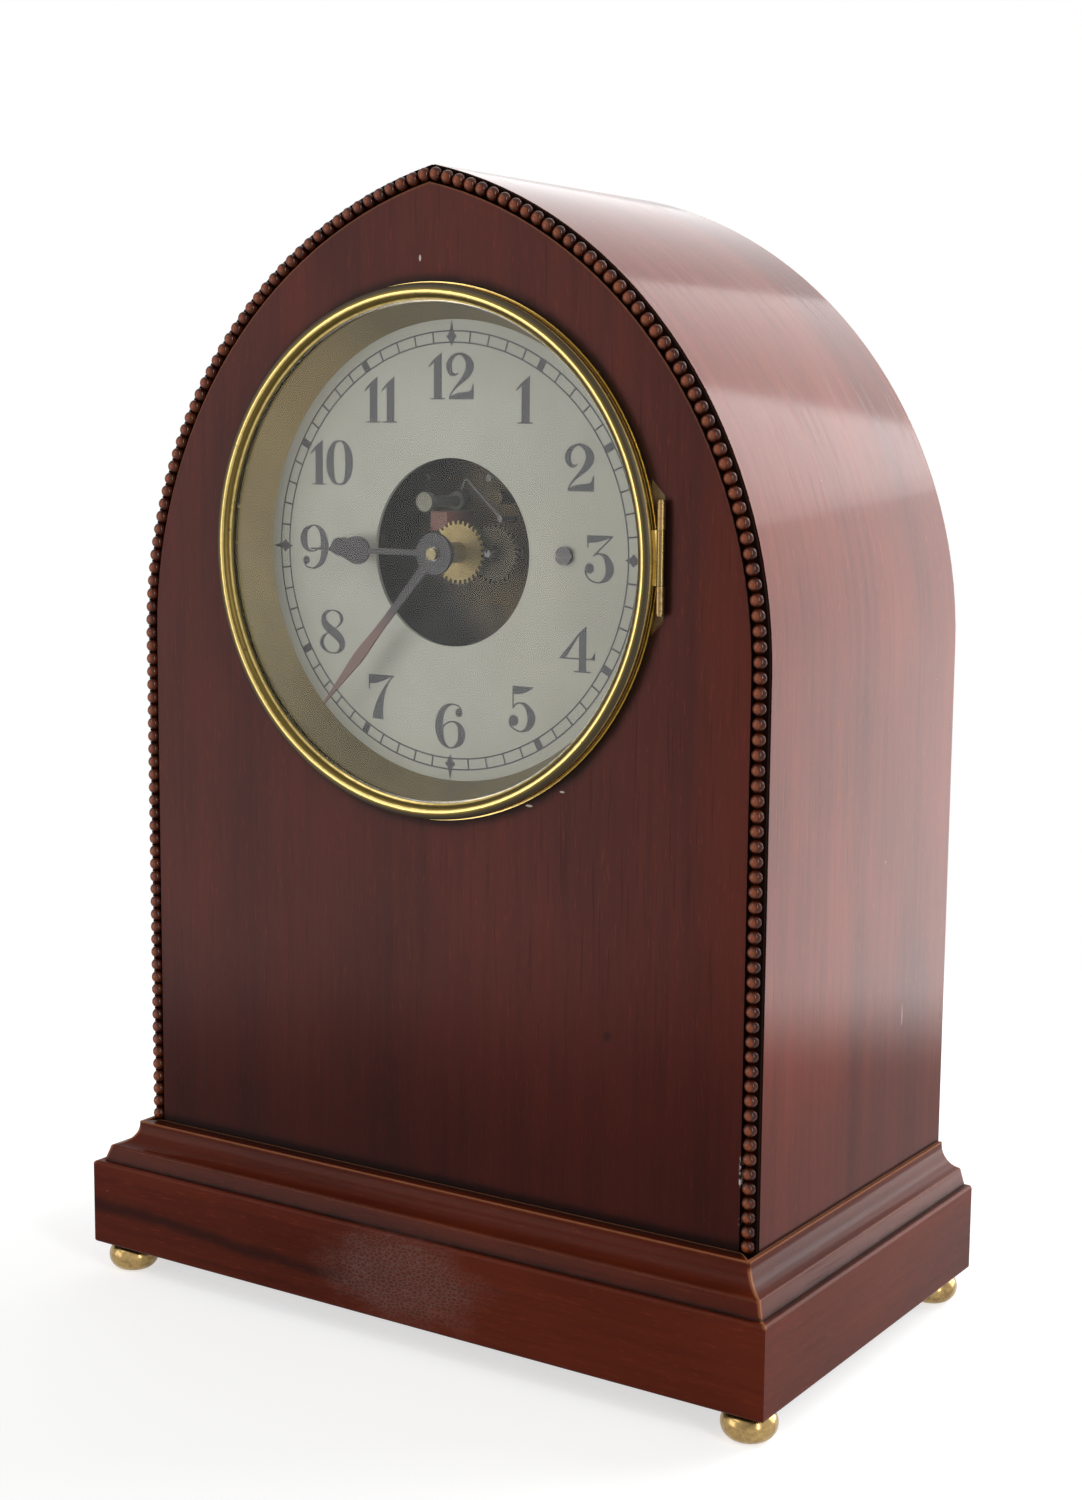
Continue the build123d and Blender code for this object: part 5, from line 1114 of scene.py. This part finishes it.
# The dry cell: a zinc can in a plain card sleeve, its cap and terminal bare on top, held upright in a
# sprung clip.
CELL_CARD_TOP = 118 * MM
CARD_BROWN = (0.20, 0.135, 0.075, 1)
CARD_PALE = (0.30, 0.21, 0.125, 1)
CARD_STAIN = (0.12, 0.075, 0.04, 1)
ZINC = (0.34, 0.34, 0.35, 1)
ZINC_DULL = (0.16, 0.15, 0.14, 1)
card = finish("cell_card")
card_place = card.place()
card_rise = card.part(card_place, "Z")
card_fibre = card.noise(card.vector("MULTIPLY", card_place, (1, 1, 0.3)), 700, 4, 0.65)
card_stain = card.noise(card_place, 45, 4, 0.6).between(0.45, 0.75)
card_colour = card.blend(card_fibre.between(0.3, 0.7), CARD_BROWN, CARD_PALE)
card_colour = card.blend(card_stain * 0.5, card_colour, CARD_STAIN)
zinc = card_rise.between(CELL_CARD_TOP, CELL_CARD_TOP + 0.4 * MM)
card.surface(
    Base_Color=card.blend(zinc, card_colour, card.blend(card_stain, ZINC, ZINC_DULL)),
    Metallic=0.85 * zinc,
    Roughness=0.72 - 0.28 * zinc + 0.15 * card_fibre,
    Normal=card.bump(card_fibre, 0.06 * MM, 0.5),
)
dress(card, "dry_cell")

# The back door: one mahogany board cut to the lancet with the grain upright, thinly polished, hung on two
# brass butts and closed by a turn latch.
DOOR_DEEP = (0.075, 0.016, 0.008, 1)
DOOR_RICH = (0.145, 0.038, 0.019, 1)
dress(polish(mahogany("mahogany_door", "Z", DOOR_DEEP, DOOR_RICH, gloss=0.28, rub_and_highlight=0.5)), "back_door")

# The butts and the latch: cast brass leaves on drawn pins, and a turned knob with a flat tongue inside
# the door, all lacquered brass with dirt in the corners.
BUTT_BRIGHT = (0.66, 0.46, 0.17, 1)
BUTT_AGED = (0.40, 0.27, 0.09, 1)
door_brass = brass("door_brass", BUTT_BRIGHT, BUTT_AGED, smooth=0.22, dull=0.45, tarnish=0.9, reach=2.2 * MM)
dress(door_brass, "case_hinge_leaves", "door_hinge_leaves", "door_latch")

# The hinge screws: turned brass with countersunk heads, two in each leaf of the butts, driven home and
# left a hair proud, each slot stopped where the screw pulled tight.
HEAD_SINK = 0.15 * MM
HEAD_RISE = 0.24 * MM
HEAD_EASE = 0.10 * MM
HEAD_SLOT = 0.38 * MM
HEAD_CUTS = 18
LEAF_LENGTH = 24 * MM
LEAF_THICKNESS = 1.0 * MM
SCREW_INSET = 4.2 * MM
SLOT_TURNS = (0.4, 1.9, 1.1, 2.6)
DOOR_SCREW_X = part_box("door_hinge_leaves")[1].x - 4.5 * MM
DOOR_HEAD = 2.1 * MM
CASE_SCREW_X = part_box("case_hinge_leaves")[0].x + 2.35 * MM
CASE_HEAD = 1.6 * MM
SCREW_BRASS = (0.40, 0.28, 0.11, 1)
SCREW_AGED = (0.22, 0.145, 0.055, 1)
screw_brass = brass(
    "screw_brass", SCREW_BRASS, SCREW_AGED, smooth=0.26, dull=0.5, tarnish=0.8, reach=0.6 * MM
)


def half_head(sheet, centre, radius, turn):
    loops = []
    for ease, depth in ((0, -HEAD_SINK), (0, HEAD_RISE - HEAD_EASE), (HEAD_EASE, HEAD_RISE)):
        reach = radius - ease
        start = math.asin((HEAD_SLOT / 2 + ease) / reach)
        loop = []
        for step in range(HEAD_CUTS + 1):
            angle = turn + start + (math.pi - 2 * start) * step / HEAD_CUTS
            away = Vector((reach * math.cos(angle), depth, reach * math.sin(angle)))
            loop.append(sheet.verts.new(centre + away))
        loops.append(loop)
    for near, far in zip(loops, loops[1:]):
        for a, b, c, d in zip(near, near[1:] + near[:1], far[1:] + far[:1], far):
            sheet.faces.new((a, b, c, d))
    sheet.faces.new(loops[0])
    sheet.faces.new(loops[-1])


def hinge_screws(name, leaves, centre_x, radius, body):
    low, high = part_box(leaves)
    face_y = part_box("back_door")[1].y + LEAF_THICKNESS
    sheet = bmesh.new()
    rows = [low.z + SCREW_INSET, low.z + LEAF_LENGTH - SCREW_INSET]
    rows += [high.z - LEAF_LENGTH + SCREW_INSET, high.z - SCREW_INSET]
    for row, turn in zip(rows, SLOT_TURNS):
        for half in (0, math.pi):
            half_head(sheet, Vector((centre_x, face_y, row)), radius, turn + half)
    bmesh.ops.recalc_face_normals(sheet, faces=sheet.faces[:])
    screws = piece_of(name, sheet)
    screws.data.materials.append(screw_brass.owner)
    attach(screws, body)


hinge_screws("door_leaf_screws", "door_hinge_leaves", DOOR_SCREW_X, DOOR_HEAD, "back_door")
hinge_screws("case_leaf_screws", "case_hinge_leaves", CASE_SCREW_X, CASE_HEAD, "case")
